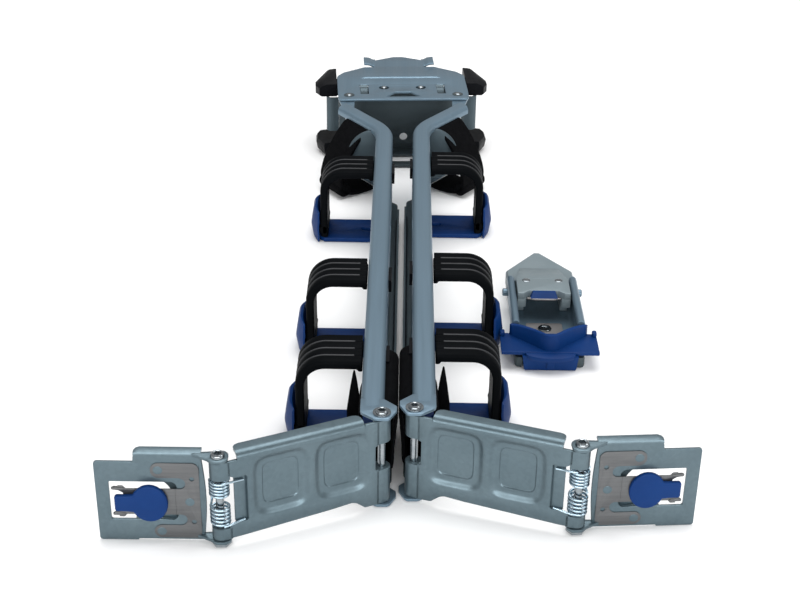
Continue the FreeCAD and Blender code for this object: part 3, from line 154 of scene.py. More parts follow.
finishes = {
    "zincSheet": {"slot": "zinc_steel", "dark": (0.091, 0.131, 0.152), "light": (0.115, 0.160, 0.183), "metal": 0.70,
                  "rough": (0.30, 0.40), "cloud": 35, "fleck": 700, "fleckStrength": 0.06, "grain": 2400, "bump": 0.10},
    "zincBar": {"slot": "zinc_steel", "dark": (0.128, 0.195, 0.250), "light": (0.150, 0.220, 0.278), "metal": 0.62,
                "rough": (0.36, 0.46), "cloud": 40, "stretch": (3.0, 0.08, 3.0), "grain": 900, "bump": 0.06},
    # zincShade: the plated steel darkened as painted shade, for the elbow frame, the pivot rings and the clip channel's
    # ends
    "zincShade": {"slot": "zinc_steel", "dark": (0.045, 0.062, 0.070), "light": (0.060, 0.080, 0.090), "metal": 0.55,
                  "rough": (0.42, 0.52), "cloud": 40, "grain": 2400, "bump": 0.08},
    # a darker plated steel as painted shade, for the cable fans, the folded feet, the louvre bows and the elbow guards
    "zincPaintedShade": {"slot": "zinc_steel", "dark": (0.050, 0.074, 0.088), "light": (0.066, 0.094, 0.110), "metal": 0.6,
                "rough": (0.36, 0.46), "cloud": 40, "grain": 2400, "bump": 0.08},
    "springBright": {"slot": "spring_steel", "dark": (0.235, 0.228, 0.228), "light": (0.30, 0.288, 0.285), "metal": 0.7,
                     "rough": (0.40, 0.50), "cloud": 30, "grain": 2400, "bump": 0.08},
    "springSteel": {"slot": "spring_steel", "dark": (0.118, 0.122, 0.126), "light": (0.150, 0.153, 0.156),
                    "metal": 0.85, "rough": (0.30, 0.40), "stretch": (0.2, 1.0, 3.0), "cloud": 300, "grain": 1800,
                    "bump": 0.05},
    "springWire": {"slot": "spring_steel", "dark": (0.34, 0.46, 0.54), "light": (0.50, 0.62, 0.70), "metal": 1.0,
                   "rough": (0.12, 0.20), "cloud": 200, "grain": 2500, "bump": 0.03},
    "screwSteel": {"slot": "screw_steel", "dark": (0.22, 0.25, 0.27), "light": (0.36, 0.39, 0.41), "metal": 1.0,
                   "rough": (0.14, 0.24), "cloud": 300, "grain": 3000, "bump": 0.04},
    "greyCasting": {"slot": "grey_casting", "dark": (0.160, 0.205, 0.225), "light": (0.190, 0.235, 0.255),
                    "metal": 0.25, "rough": (0.42, 0.52), "cloud": 50, "grain": 3200, "bump": 0.14},
    "blueMoulding": {"slot": "blue_plastic", "dark": (0.0012, 0.0220, 0.108), "light": (0.0022, 0.031, 0.140),
                     "rough": (0.40, 0.52), "cloud": 45, "grain": 2600, "bump": 0.08, "shine": 0.14},
    "blackMoulding": {"slot": "black_plastic", "dark": (0.0024, 0.0028, 0.0040), "light": (0.0040, 0.0046, 0.0062),
                      "rough": (0.34, 0.46), "cloud": 60, "grain": 2600, "bump": 0.10, "shine": 0.07},
    "blackRubber": {"slot": "black_rubber", "dark": (0.0020, 0.0025, 0.0031), "light": (0.0032, 0.0038, 0.0046),
                    "rough": (0.42, 0.54), "cloud": 80, "grain": 2000, "bump": 0.10, "shine": 0.015},
    # a lighter rubber for the strap's fine lines, as a painted highlight on the ridges
    "rubberHighlightLine": {"slot": "black_rubber", "dark": (0.012, 0.014, 0.017), "light": (0.018, 0.020, 0.024),
                   "rough": (0.46, 0.56), "cloud": 80, "grain": 2000, "bump": 0.08, "shine": 0.5},
    "blackTape": {"slot": "black_fabric", "dark": (0.0014, 0.0015, 0.0020), "light": (0.0032, 0.0034, 0.0042),
                  "rough": (0.8, 0.95), "cloud": 500, "weave": 900, "grain": 4000, "bump": 0.4, "bumpDepth": 0.0004,
                  "shine": 0.05},
}
paint = {name: newMaterial(name, finish) for name, finish in finishes.items()}
print("materials mixed:", len(paint))


# shapes

def rounded(corners, steps=6):
    # (x, y) or (x, y, radius): corners with a radius become short arcs
    path = []
    count = len(corners)
    for index, corner in enumerate(corners):
        if len(corner) == 2 or corner[2] <= 0:
            path.append((corner[0], corner[1]))
            continue
        here = Vector(corner[:2])
        back = (Vector(corners[index - 1][:2]) - here)
        ahead = (Vector(corners[(index + 1) % count][:2]) - here)
        reach = min(corner[2] / math.tan(max(back.angle(ahead) / 2, 0.05)), back.length * 0.499, ahead.length * 0.499)
        start, end = here + back.normalized() * reach, here + ahead.normalized() * reach
        for step in range(steps + 1):
            t = step / steps
            bend = start * (1 - t) ** 2 + here * 2 * t * (1 - t) * 0.5 * 1.1716 + end * t ** 2
            scale = (1 - t) ** 2 + 2 * t * (1 - t) * 0.5 * 1.1716 + t ** 2
            path.append(tuple(bend / scale))
    return path


def block(left, low, right, high, radius=0.0):
    return [(left, low, radius), (right, low, radius), (right, high, radius), (left, high, radius)]


def disc(x, y, radius, count=28):
    return [(x + radius * math.cos(2 * math.pi * step / count), y + radius * math.sin(2 * math.pi * step / count))
            for step in range(count)]


def plate(outline, holes, thickness, rim):
    # a flat sheet with rounded rims, in its own XY plane from z 0 to the thickness
    curve = bpy.data.curves.new("plate", "CURVE")
    curve.dimensions = "2D"
    curve.fill_mode = "BOTH"
    rim = min(rim, thickness * 0.45)
    curve.extrude = thickness / 2 - rim
    curve.bevel_depth = rim
    curve.bevel_resolution = 1
    curve.offset = -rim
    for loop in [outline, *holes]:
        path = rounded(loop)
        spline = curve.splines.new("POLY")
        spline.points.add(len(path) - 1)
        for spot, (x, y) in zip(spline.points, path):
            spot.co = (x, y, 0, 1)
        spline.use_cyclic_u = True
    holder = bpy.data.objects.new("plate", curve)
    bpy.context.scene.collection.objects.link(holder)
    mesh = bpy.data.meshes.new_from_object(holder.evaluated_get(bpy.context.evaluated_depsgraph_get()))
    bpy.data.objects.remove(holder)
    shape = bmesh.new()
    shape.from_mesh(mesh)
    bpy.data.meshes.remove(mesh)
    bmesh.ops.remove_doubles(shape, verts=shape.verts, dist=0.0005)
    moved(shape, 0, 0, thickness / 2)
    return shape


def onEdge(side, out=0.0):
    # stands a shape drawn as (across, up), on the part's left or right, its thickness running away from the viewer
    return Matrix(((side, 0, 0, 0), (0, 0, 1, out), (0, 1, 0, 0), (0, 0, 0, 1)))


def sideways(out=0.0):
    # stands a shape drawn as (along, up), its thickness running across
    return Matrix(((0, 0, 1, out), (1, 0, 0, 0), (0, 1, 0, 0), (0, 0, 0, 1)))


def turned(angle, axis):
    return Matrix.Rotation(math.radians(angle), 4, axis)


def moved(shape, x=0.0, y=0.0, z=0.0, pose=Matrix.Identity(4)):
    bmesh.ops.transform(shape, matrix=Matrix.Translation((x, y, z)) @ pose, verts=shape.verts)
    return shape


def onSide(outline, side):
    # the outline as it lies on the part's left (-1) or right (1), its corner radii kept
    return [(corner[0] * side, *corner[1:]) for corner in outline]


def level(outline, holes, thickness, rim, z):
    return moved(plate(outline, holes, thickness, rim), z=z)


def upright(outline, holes, thickness, rim, y):
    return moved(plate(outline, holes, thickness, rim), y=y, pose=onEdge(1))


def skin(shape, rings, caps=0):
    # faces from ring to ring; caps close both ends, and -1 turns them the other way round
    count = len(rings[0])
    for first, last in zip(rings, rings[1:]):
        for index in range(count):
            following = (index + 1) % count
            shape.faces.new((first[index], first[following], last[following], last[index]))
    if caps:
        shape.faces.new(rings[0][::-caps])
        shape.faces.new(rings[-1][::caps])
    return shape


def sweep(path, profile):
    # profile (offset to the left of the path, height) carried along a flat path, ends capped
    shape = bmesh.new()
    rings = []
    for index, here in enumerate(path):
        back = Vector(path[max(index - 1, 0)])
        ahead = Vector(path[min(index + 1, len(path) - 1)])
        here = Vector(here)
        first = (here - back).normalized() if index else (ahead - here).normalized()
        last = (ahead - here).normalized() if index < len(path) - 1 else first
        mean = (first + last).normalized()
        normal = Vector((-mean.y, mean.x)) / max(mean.dot(first), 0.3)
        rings.append([shape.verts.new((here.x + normal.x * out, here.y + normal.y * out, up)) for out, up in profile])
    return skin(shape, rings, 1)


def lathe(rings, count=32, lobes=0, lobeDepth=0.0):
    # rings of (radius, height) about Z; a third value makes a ring a star of so many lobes, or a hexagon
    shape = bmesh.new()
    loops = []
    for ring in rings:
        radius, height = ring[:2]
        if radius <= 0:
            loops.append([shape.verts.new((0, 0, height))] * count)
            continue
        loop = []
        for step in range(count):
            angle = 2 * math.pi * step / count
            wide = radius
            if len(ring) > 2 and lobes:
                wide = radius * (1 + lobeDepth * math.cos(lobes * angle))
            if len(ring) > 2 and not lobes:
                wide = radius * math.cos(math.pi / 6) / math.cos((angle % (math.pi / 3)) - math.pi / 6)
            loop.append(shape.verts.new((wide * math.cos(angle), wide * math.sin(angle), height)))
        loops.append(loop)
    for first, last in zip(loops, loops[1:]):
        for step in range(count):
            following = (step + 1) % count
            corners = []
            for vert in (first[step], first[following], last[following], last[step]):
                if vert not in corners:
                    corners.append(vert)
            if len(corners) > 2:
                shape.faces.new(corners)
    return shape


def together(*shapes):
    whole = bmesh.new()
    for shape in shapes:
        part = bpy.data.meshes.new("part")
        shape.to_mesh(part)
        shape.free()
        whole.from_mesh(part)
        bpy.data.meshes.remove(part)
    return whole


def bevelled(shape, width, segments=2, angle=30):
    # rounds every edge sharper than the angle
    edges = [edge for edge in shape.edges
             if len(edge.link_faces) == 2 and edge.calc_face_angle(0) > math.radians(angle)]
    bmesh.ops.bevel(shape, geom=edges, offset=width, segments=segments, profile=0.5, affect="EDGES",
                    clamp_overlap=True)
    return shape


def finishPiece(name, shape, place, material, body, replaces=(), crease=35):
    bmesh.ops.transform(shape, matrix=place, verts=shape.verts)
    bmesh.ops.recalc_face_normals(shape, faces=shape.faces)
    for face in shape.faces:
        face.smooth = True
    mesh = bpy.data.meshes.new(name)
    shape.to_mesh(mesh)
    shape.free()
    mesh.set_sharp_from_angle(angle=math.radians(crease))
    mesh.materials.append(paint[material])
    piece = bpy.data.objects.new(name, mesh)
    bpy.context.scene.collection.objects.link(piece)
    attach(piece, body)
    if replaces:
        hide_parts(*replaces)
    return piece


# geometry node trees

def makeTree(name, material, sizes, nodes, wires, result):
    # a node tree from tables: its inputs, its nodes with their settings, and the wires as "from.socket > to.socket"
    tree = bpy.data.node_groups.new(name, "GeometryNodeTree")
    newSocket = tree.interface.new_socket
    newSocket("Geometry", in_out="INPUT", socket_type="NodeSocketGeometry")
    for label, (kind, value) in sizes.items():
        newSocket(label, in_out="INPUT", socket_type="NodeSocket" + kind).default_value = value
    newSocket("Geometry", in_out="OUTPUT", socket_type="NodeSocketGeometry")
    made = {"in": tree.nodes.new("NodeGroupInput"), "out": tree.nodes.new("NodeGroupOutput")}
    nodes = {**nodes, "real": ("GeometryNodeRealizeInstances", {}),
             "painted": ("GeometryNodeSetMaterial", {"Material": paint[material]})}
    for label, (kind, settings) in nodes.items():
        made[label] = setInputs(tree.nodes.new(kind), settings)
    for wire in [*wires, result + " > real.Geometry", "real.Geometry > painted.Geometry",
                 "painted.Geometry > out.Geometry"]:
        (source, outlet), (target, inlet) = (end.split(".") for end in wire.split(" > "))
        tree.links.new(made[source].outputs[outlet], made[target].inputs[inlet])
    return tree


def treeMesh(tree, source, sizes):
    # the tree's result on a source mesh, as a bmesh in the source's own frame
    holder = bpy.data.objects.new("holder", source)
    bpy.context.scene.collection.objects.link(holder)
    maker = holder.modifiers.new("maker", "NODES")
    maker.node_group = tree
    for item in tree.interface.items_tree:
        if item.item_type == "SOCKET" and item.in_out == "INPUT" and item.name in sizes:
            maker[item.identifier] = sizes[item.name]
    bpy.context.view_layer.update()
    mesh = bpy.data.meshes.new_from_object(holder.evaluated_get(bpy.context.evaluated_depsgraph_get()))
    bpy.data.objects.remove(holder)
    shape = bmesh.new()
    shape.from_mesh(mesh)
    bpy.data.meshes.remove(mesh)
    bmesh.ops.remove_doubles(shape, verts=shape.verts, dist=0.0005)
    return shape


def pointCloud(points):
    mesh = bpy.data.meshes.new("points")
    mesh.from_pydata([tuple(point) for point in points], [], [])
    return mesh


# a close-wound coil of round wire up the Z axis
springTree = makeTree(
    "springCoil", "springWire",
    {"Turns": ("Float", 4.0), "Rise": ("Float", 6.0), "Coil Radius": ("Float", 3.5), "Wire Radius": ("Float", 0.55)},
    {"spiral": ("GeometryNodeCurveSpiral", {"Resolution": 28}),
     "ring": ("GeometryNodeCurvePrimitiveCircle", {"Resolution": 12}),
     "wire": ("GeometryNodeCurveToMesh", {"Fill Caps": True})},
    ["in.Turns > spiral.Rotations", "in.Coil Radius > spiral.Start Radius", "in.Coil Radius > spiral.End Radius",
     "in.Rise > spiral.Height", "in.Wire Radius > ring.Radius", "spiral.Curve > wire.Curve",
     "ring.Curve > wire.Profile Curve"],
    "wire.Mesh")
# a low domed head on each point
rivetTree = makeTree(
    "rivetHeads", "screwSteel",
    {"Head Radius": ("Float", 1.8), "Crown": ("Float", 0.5)},
    {"ball": ("GeometryNodeMeshUVSphere", {"Segments": 28, "Rings": 12, "Radius": 1.0}),
     "size": ("ShaderNodeCombineXYZ", {}),
     "heads": ("GeometryNodeInstanceOnPoints", {}),
     "points": ("GeometryNodeMeshToPoints", {})},
    ["in.Geometry > points.Mesh", "points.Points > heads.Points", "ball.Mesh > heads.Instance",
     "in.Head Radius > size.X", "in.Head Radius > size.Y", "in.Crown > size.Z", "size.Vector > heads.Scale"],
    "heads.Instances")
# round beads along the source path, side by side across the strap, in a lighter rubber as a painted highlight
ribTree = makeTree(
    "strapRibs", "rubberHighlightLine",
    {"Count": ("Int", 3), "Pitch": ("Float", 6.0), "Bead Radius": ("Float", 0.6)},
    {"path": ("GeometryNodeMeshToCurve", {}),
     "ring": ("GeometryNodeCurvePrimitiveCircle", {"Resolution": 12}),
     "bead": ("GeometryNodeCurveToMesh", {"Fill Caps": True}),
     "row": ("GeometryNodeMeshLine", {}),
     "step": ("ShaderNodeCombineXYZ", {}),
     "beads": ("GeometryNodeInstanceOnPoints", {})},
    ["in.Geometry > path.Mesh", "path.Curve > bead.Curve", "in.Bead Radius > ring.Radius",
     "ring.Curve > bead.Profile Curve", "in.Count > row.Count", "in.Pitch > step.Y", "step.Vector > row.Offset",
     "row.Mesh > beads.Points", "bead.Mesh > beads.Instance"],
    "beads.Instances")


# arms

armShape = {
    "barInner": -0.8, "barOuter": 8.6, "top": 42.6, "lip": 38.2, "lipRounding": 0.3, "sheet": 1.2, "foot": 0.3,
    "start": 5.0, "bend": 284.0, "bendRadius": 30.0, "flare": 36.0, "flareRun": 30.5, "slant": 4.4, "rounding": 2.4,
    "webTop": 31.6, "hookFoot": 31.0, "skirtTop": 31.3, "rim": 0.2, "lugRim": 0.15,
    "windowLow": 9.0, "windowHigh": 31.0, "windowCorner": 3.0, "windowStart": 13.0, "windowGap": 3.0, "clear": 14.9,
    "tip": 5.9, "lug": 5.0, "screwHole": 1.65, "pivotHole": 2.55, "farLugs": (39.9, 2.3),
    "fanMiddle": (9.3, 24.5), "fanRadius": 15.5, "fanInner": 2.5, "fanLow": 9.0, "fanHigh": 37.8, "fanAlong": 296.0,
    "footStart": 10.0, "footWide": 3.2, "footLap": 1.2,
    "footLip": ((-3.5, 1.0), (-4.3, 3.6), (-4.5, 8.8)), "lipRun": (60.0, 258.0), "lipHalf": 0.5,
}
basketPlaces = {-1: (52.2, 124.5, 246.0), 1: (55.2, 127.5, 249.0)}


def armPath(side, extra=0.0):
    a = armShape
    middle = (a["barInner"] + a["barOuter"]) / 2
    path = [(middle * side, y) for y in (a["start"], 40, 90, 140, 190, 240)]
    flare, steps = math.radians(a["flare"]), 12
    for step in range(steps + 1):
        turn = flare * step / steps
        path.append(((middle + a["bendRadius"] * (1 - math.cos(turn))) * side,
                     a["bend"] + a["bendRadius"] * math.sin(turn)))
    end, run = path[-1], a["flareRun"] + extra
    path.append((end[0] + run * math.sin(flare) * side, end[1] + run * math.cos(flare)))
    return path


def makeBar(side):
    # the offset is measured to the left of the path, so the section flips with the arm
    a = armShape
    half = (a["barOuter"] - a["barInner"]) / 2
    t, top, bend, tight = a["sheet"], a["top"], a["rounding"], a["rounding"] - a["sheet"] * 0.7
    inner, flip = half * side, side
    outer, lining = inner - 2 * half * flip, inner - (2 * half - t) * flip
    hook = rounded([(inner, a["hookFoot"]), (inner, top, bend), (outer, top, bend), (outer, a["lip"], a["lipRounding"]),
                    (lining, a["lip"], a["lipRounding"]), (lining, top - t, tight), (inner - t * flip, top - t, tight),
                    (inner - t * flip, a["hookFoot"])], 5)
    bar = sweep(armPath(side, a["slant"]), hook)
    # its far end is cut aslant, so that it meets the elbow plate's near edge
    flare, end = math.radians(a["flare"]), armPath(side)[-1]
    for vert in bar.verts:
        dx, dy = vert.co.x * side - end[0] * side, vert.co.y - end[1]
        if dx * math.sin(flare) + dy * math.cos(flare) > 2.0:
            outward = dx * math.cos(flare) - dy * math.sin(flare)
            back = a["slant"] * min(1.0, max(0.0, (outward + half) / (2 * half)))
            vert.co.x -= back * math.sin(flare) * side
            vert.co.y -= back * math.cos(flare)
    # below it a plain strip follows the bend
    strip = [(inner, a["foot"]), (inner, a["skirtTop"]), (inner - t * flip, a["skirtTop"]),
             (inner - t * flip, a["foot"])]
    return bar, sweep(armPath(side)[6:], strip)


def makeWeb(side):
    # a punched sheet under the bar, up to the bend
    a = armShape
    near, middle, far = basketPlaces[side]
    clear = a["clear"]
    gap = (far - middle - clear * 2) / 2 - a["windowGap"]
    spans = [(a["windowStart"], near - clear), (near + clear, middle - clear), (middle + clear, middle + clear + gap),
             (far - clear - gap, far - clear), (far + clear, a["bend"])]
    holes = [block(first, a["windowLow"], last, a["windowHigh"], a["windowCorner"]) for first, last in spans]
    web = plate(block(a["start"], a["foot"], a["bend"] + 1, a["webTop"]), holes, a["sheet"], a["rim"])
    return moved(web, x=a["barInner"] if side > 0 else -a["barInner"] - a["sheet"], pose=sideways())


def makeLugs(side):
    a = armShape
    t = a["sheet"]
    # near lugs round the hinge screw
    lug = [(a["barInner"], a["start"] + a["lug"]), (-a["tip"], a["lug"], 1.2), (-a["tip"], a["lug"] / 3, 1.2),
           (-3.0, -4.25, 1.8), (3.0, -4.25, 2.5), (a["barOuter"], 0.3, 3.0), (a["barOuter"], a["start"] + a["lug"])]
    lowLug = lug[:5] + [(5.0, 0.0), (3.0, 10.0)]
    lugs = [level(onSide(outline, side), [disc(0, 0, a["screwHole"])], t, a["lugRim"], height - 0.04)
            for outline, height in ((lug, a["top"] - t), (lowLug, a["foot"]))]
    # far lugs round the elbow pivot, and the riser between bar and elbow plate
    end = armPath(side)[-1]
    px, py = spots["pivotAcross"], spots["pivotAlong"]
    turn = math.radians(a["flare"])

    def acrossFlare(back, offset):
        return (end[0] * side - back * math.sin(turn) + offset * math.cos(turn),
                end[1] - back * math.cos(turn) - offset * math.sin(turn))

    far = [acrossFlare(5.0, -3.0), acrossFlare(5.0, 3.5), (px + 6.6, py, 4), (px + 4.2, py + 6.5, 4.5),
           (px - 4.2, py + 6.5, 4.5), (px - 3.4, py - 6.0, 3)]
    lugs += [level(onSide(far, side), [disc(px * side, py, a["pivotHole"])], t, a["lugRim"], height)
             for height in a["farLugs"]]
    riser = [acrossFlare(5.0, -3.5), acrossFlare(5.0, 3.5), acrossFlare(1.2, 3.5), acrossFlare(1.2, -3.5)]
    return [*lugs, level(onSide(riser, side), [], 0.3, 0.02, 41.1)]


def makeArm(side):
    a = armShape
    name = sideNames[side]
    t = a["sheet"]
    bar, skirt = makeBar(side)
    web = makeWeb(side)
    lugs = makeLugs(side)
    # the round fan that keeps cables off the bend, in the darker zinc as painted shade
    (across, high), radius = a["fanMiddle"], a["fanRadius"]
    fan = [(a["fanInner"], a["fanLow"])]
    fan += [(across + radius * math.cos(math.radians(angle)), high + radius * math.sin(math.radians(angle)))
            for angle in range(-90, 84, 6)]
    fan += [(across, a["fanHigh"]), (a["fanInner"], a["fanHigh"])]
    finishPiece("cableFan_" + name, upright(onSide(fan, side), [], t, a["rim"], a["fanAlong"]), armFrame(side),
                "zincPaintedShade", "arm_" + name)
    # the web's foot is folded inward; the fold and its lip take the darker zinc as painted shade
    inward, bend = -a["barInner"], a["bend"]
    fold = [(inward - a["footLap"], a["footStart"]), (inward + a["footWide"], a["footStart"] + 2.0, 2.0),
            (inward + a["footWide"], bend - 4.0, 4.0), (inward - a["footLap"], bend)]
    fold = level(onSide(rounded(fold), -side), [], t, a["rim"], a["foot"] - 0.02)
    (start, end), thin = a["lipRun"], a["lipHalf"]
    lip = sweep(a["footLip"], [(-thin, start), (-thin, end), (thin, end), (thin, start)])
    finishPiece("armFoot_" + name, together(fold, moved(lip, pose=onEdge(side))), armFrame(side), "zincPaintedShade",
                "arm_" + name)
    finishPiece("armChannel_" + name, together(bar, web, skirt, *lugs), armFrame(side), "zincBar", "arm_" + name,
                ["arm_" + name])


for side in sideNames:
    makeArm(side)
print("arms made")


# cable baskets, straps and wraps

basketShape = {"depth": 23.8, "shelf": 2.6, "start": 0.5, "reach": 41.0, "corner": 6.0, "ear": 37.6, "waist": 42.5,
               "waistHeight": 8.6, "earTop": 40.8, "height": 18.8, "slot": (8.0, 15.6), "slotWidth": 3.6,
               "pull": 3.6, "flange": 13.0, "flangeSheet": 1.8}
strapShape = {"width": 23.4, "thick": 3.2, "start": 8.9, "top": 40.4, "reach": 36.6, "bend": 12.0, "foot": 2.9,
              "tail": 6.4, "bead": 2.4, "beadHeight": 7.0, "ribs": 4, "lineRadius": 0.36}


def makeBasket(side, name, place):
    b = basketShape
    half, slotHalf = b["depth"] / 2, b["slotWidth"] / 2
    reach, corner = b["reach"], b["corner"]
    shelf = [(b["start"], -half), (reach - corner, -half, 1.5), (reach, corner - half, 1.5),
             (reach, half - corner, 1.5), (reach - corner, half, 1.5), (b["start"], half)]
    slot = block(b["slot"][0], -slotHalf, b["slot"][1], slotHalf, slotHalf)
    floor = plate(onSide(shelf, side), [onSide(slot, side)], b["shelf"], 0.5)
    # the ear is a bowed wall: its plan narrows to both ends and its section hooks inwards over the strap's bead
    ear = bmesh.new()
    rows = []
    inner, top, height, waist, steps = b["ear"], b["earTop"], b["height"], b["waist"], 12
    for step in range(steps + 1):
        along = -half + b["depth"] * step / steps
        bow = max(0.0, (abs(along) - half * 0.42) / (half * 0.58))
        pull, low = b["pull"] * bow ** 1.4, bow
        section = [(inner + 0.2, 0.4), (reach - 0.5 - pull * 0.6, 0.0), (reach + 0.4 - pull * 0.8, 1.4),
                   (waist - pull, b["waistHeight"] - 0.6), (waist - 0.1 - pull, b["waistHeight"] + 0.8),
                   (top + 0.3 - pull * 0.7, height - 1.2 - low), (top - 0.5 - pull * 0.7, height - low),
                   (top - 1.7 - pull * 0.4, height - 0.3 - low), (inner + 0.2, height * 0.78 - low),
                   (inner + 0.1, 10.8), (inner + 1.5 - pull * 0.3, 9.6), (inner + 1.5 - pull * 0.3, 5.2),
                   (inner + 0.2, 4.2)]
        rows.append([ear.verts.new((x * side, along, z)) for x, z in section])
    bevelled(skin(ear, rows, -1), 0.35, 2, 28)
    flange, t = b["flange"], b["flangeSheet"]
    back = plate([(3 - half, 0.3), (half - 3, 0.3), (half - 3, flange, 3.0), (3 - half, flange, 3.0)], [], t, 0.4)
    moved(back, x=b["start"] if side > 0 else -b["start"] - t, pose=sideways())
    label = sideNames[side] + "_" + name
    finishPiece("cableBasket_" + label, together(floor, ear, back), armFrame(side, place), "blueMoulding",
                "arm_" + sideNames[side], ["basket_" + label])


def offsetPath(path, out):
    shifted = []
    for index, here in enumerate(path):
        back = Vector(path[max(index - 1, 0)])
        ahead = Vector(path[min(index + 1, len(path) - 1)])
        way = (ahead - back).normalized()
        shifted.append((here[0] - way.y * out, here[1] + way.x * out))
    return shifted


def makeStrap(side, name, place):
    s = strapShape
    width, start = s["width"], s["start"]
    half, middle = width / 2, s["thick"] / 2
    outer, high, corner = s["reach"] - middle, s["top"] - middle, s["bend"] - middle
    path = [(start + 0.4, high), (start + 8.0, high), (outer - corner, high)]
    for step in range(1, 13):
        turn = math.radians(90 * step / 12)
        path.append((outer - corner + corner * math.sin(turn), high - corner + corner * math.cos(turn)))
    path += [(outer, 20.0), (outer, 12.0), (outer - 0.2, s["foot"])]
    # band section: four low ribs, with a step down on the near side of each
    pitch = width / s["ribs"]
    profile = [(-middle, half - 0.6), (0.6 - middle, half), (middle - 0.7, half)]
    for index in range(s["ribs"]):
        right = half - pitch * index
        profile += [(middle + 0.15, right - 0.5 * (index == 0)), (middle + 0.62, right - 0.9),
                    (middle + 0.70, right - 2.2), (middle + 0.55, right - pitch + 1.1),
                    (middle + 0.1, right - pitch + 0.45)]
    profile += [(middle - 0.7, -half), (0.6 - middle, -half), (-middle, 0.6 - half)]
    band = moved(sweep(path, profile), pose=onEdge(side))
    # the thick inner end that plugs on the anchor, chamfered at its top corners
    low = s["top"] - s["tail"] + 1.6
    root = plate([(start, low, 0.4), (start + 1.6, low, 0.6), (start + 3.4, high - 1.2), (start + 3.4, high + 0.9),
                  (start + 1.4, high + 1.2, 0.5), (start, high - 0.6, 0.5)], [], width - 2.0, 0.6)
    moved(root, pose=onEdge(side, -(half - 1.0)))
    r = s["bead"]
    bead = lathe([(0, 0), (r - 0.4, 0), (r, 0.4), (r, width - 0.4), (r - 0.4, width), (0, width)], 24)
    moved(bead, (s["reach"] - 1.2) * side, half, s["beadHeight"], turned(90, "X"))
    label = sideNames[side] + "_" + name
    finishPiece("cableStrap_" + label, together(band, root, bead), armFrame(side, place), "blackRubber",
                "strap_" + label, ["strap_" + label], crease=38)
    # a fine moulded line stands in each groove, in a lighter rubber as a painted highlight
    ribPath = [(x * side, 0.25 - pitch, z) for x, z in offsetPath([(start + 3.6, high)] + path[1:-3], middle + 0.3)]
    mesh = bpy.data.meshes.new("ribPath")
    mesh.from_pydata(ribPath, [(index, index + 1) for index in range(len(ribPath) - 1)], [])
    ribs = treeMesh(ribTree, mesh, {"Count": s["ribs"] - 1, "Pitch": pitch, "Bead Radius": s["lineRadius"]})
    finishPiece("strapLines_" + label, ribs, armFrame(side, place), "rubberHighlightLine", "strap_" + label, crease=60)


def smoothPath(points, steps):
    # an even curve through the points
    path = []
    for index in range(len(points) - 1):
        p0 = Vector(points[max(index - 1, 0)])
        p1, p2 = Vector(points[index]), Vector(points[index + 1])
        p3 = Vector(points[min(index + 2, len(points) - 1)])
        for step in range(steps):
            t = step / steps
            path.append(tuple(0.5 * ((2 * p1) + (p2 - p0) * t + (2 * p0 - 5 * p1 + 4 * p2 - p3) * t * t
                                     + (3 * p1 - p0 - 3 * p2 + p3) * t ** 3)))
    path.append(points[-1])
    return path


wrapShape = {
    "nearPlace": 27.0, "half": 0.9, "loopHalf": 9.6, "insideHalf": 0.6, "inside": (-16.0, 30.0),
    "loop": ((0.9, 3.7), (5.0, 3.6), (8.2, 4.4), (9.2, 8.0), (9.5, 16.0), (9.2, 26.0), (8.4, 32.5), (6.2, 35.8),
             (3.4, 36.8), (0.9, 36.8)),
    "blade": ((8.6, 6.0, 1.0), (15.4, 6.0, 2.0), (15.3, 20.0, 6.0), (13.8, 31.0, 6.0), (12.2, 40.6, 0.5),
              (11.0, 34.0, 4.0), (9.4, 22.0, 4.0)), "bladeAlong": 9.9, "bladeSheet": 1.6,
    "lining": ((-0.3, 36.9), (-3.0, 36.8), (-5.6, 34.0), (-5.2, 27.0), (-4.4, 18.0), (-3.8, 9.0), (-0.3, 4.6)),
    "drape": ((2.6, 37.4), (5.4, 38.0), (9.0, 35.0), (14.0, 29.0), (18.6, 21.6), (21.6, 14.4), (22.6, 8.6),
              (20.6, 4.0), (14.0, 1.9), (6.0, 1.6), (0.6, 2.2)), "drapeWidth": 21.0, "knot": (20.2, 5.0),
}


def tape(points, steps, half, start, end, side, soften):
    # a flat band whose edge-on path is drawn as (across, up), from start to end along the arm
    band = sweep(smoothPath(points, steps), [(-half, start), (-half, end), (half, end), (half, start)])
    return bevelled(moved(band, pose=onEdge(side)), soften, 2, 50)


def makeWraps(side):
    w = wrapShape
    name = sideNames[side]
    body = "arm_" + name
    # near wrap: a short loop through the web beside the hinge, its free end standing up as a blade
    near = tape(w["loop"], 4, w["half"], -w["loopHalf"], w["loopHalf"], side, 0.25)
    blade = upright(onSide(w["blade"], side), [], w["bladeSheet"], 0.4, w["bladeAlong"])
    inside = tape(w["lining"], 4, w["insideHalf"], *w["inside"], side, 0.25)
    finishPiece("nearWrap_" + name, together(near, blade, inside), armFrame(side, w["nearPlace"]), "blackTape", body,
                ["near_wrap_" + name], crease=50)
    # far wrap: a broad band hung from the flared bar, draped outward, rolled up at its foot
    width = w["drapeWidth"]
    far = tape(w["drape"], 5, w["half"], 0.0, width, side, 0.3)
    knot = lathe([(0, -1.0), (3.2, -1.0), (4.0, -0.2), (4.0, width - 0.8), (3.2, width), (0, width)], 24)
    moved(knot, w["knot"][0] * side, width, w["knot"][1], turned(90, "X"))
    across, along = armPath(side)[-2]
    hung = standAt(side * spots["hingeAcross"] + across, side * spots["hingeAlong"] + along, -armShape["flare"] * side)
    finishPiece("farWrap_" + name, together(far, knot), hung, "blackTape", body, ["far_wrap_" + name], crease=50)


for side in sideNames:
    for name, place in zip(("near", "middle", "far"), basketPlaces[side]):
        makeBasket(side, name, place)
        makeStrap(side, name, place)
    makeWraps(side)
print("baskets, straps and wraps made")


# link plates, hinges and latch brackets

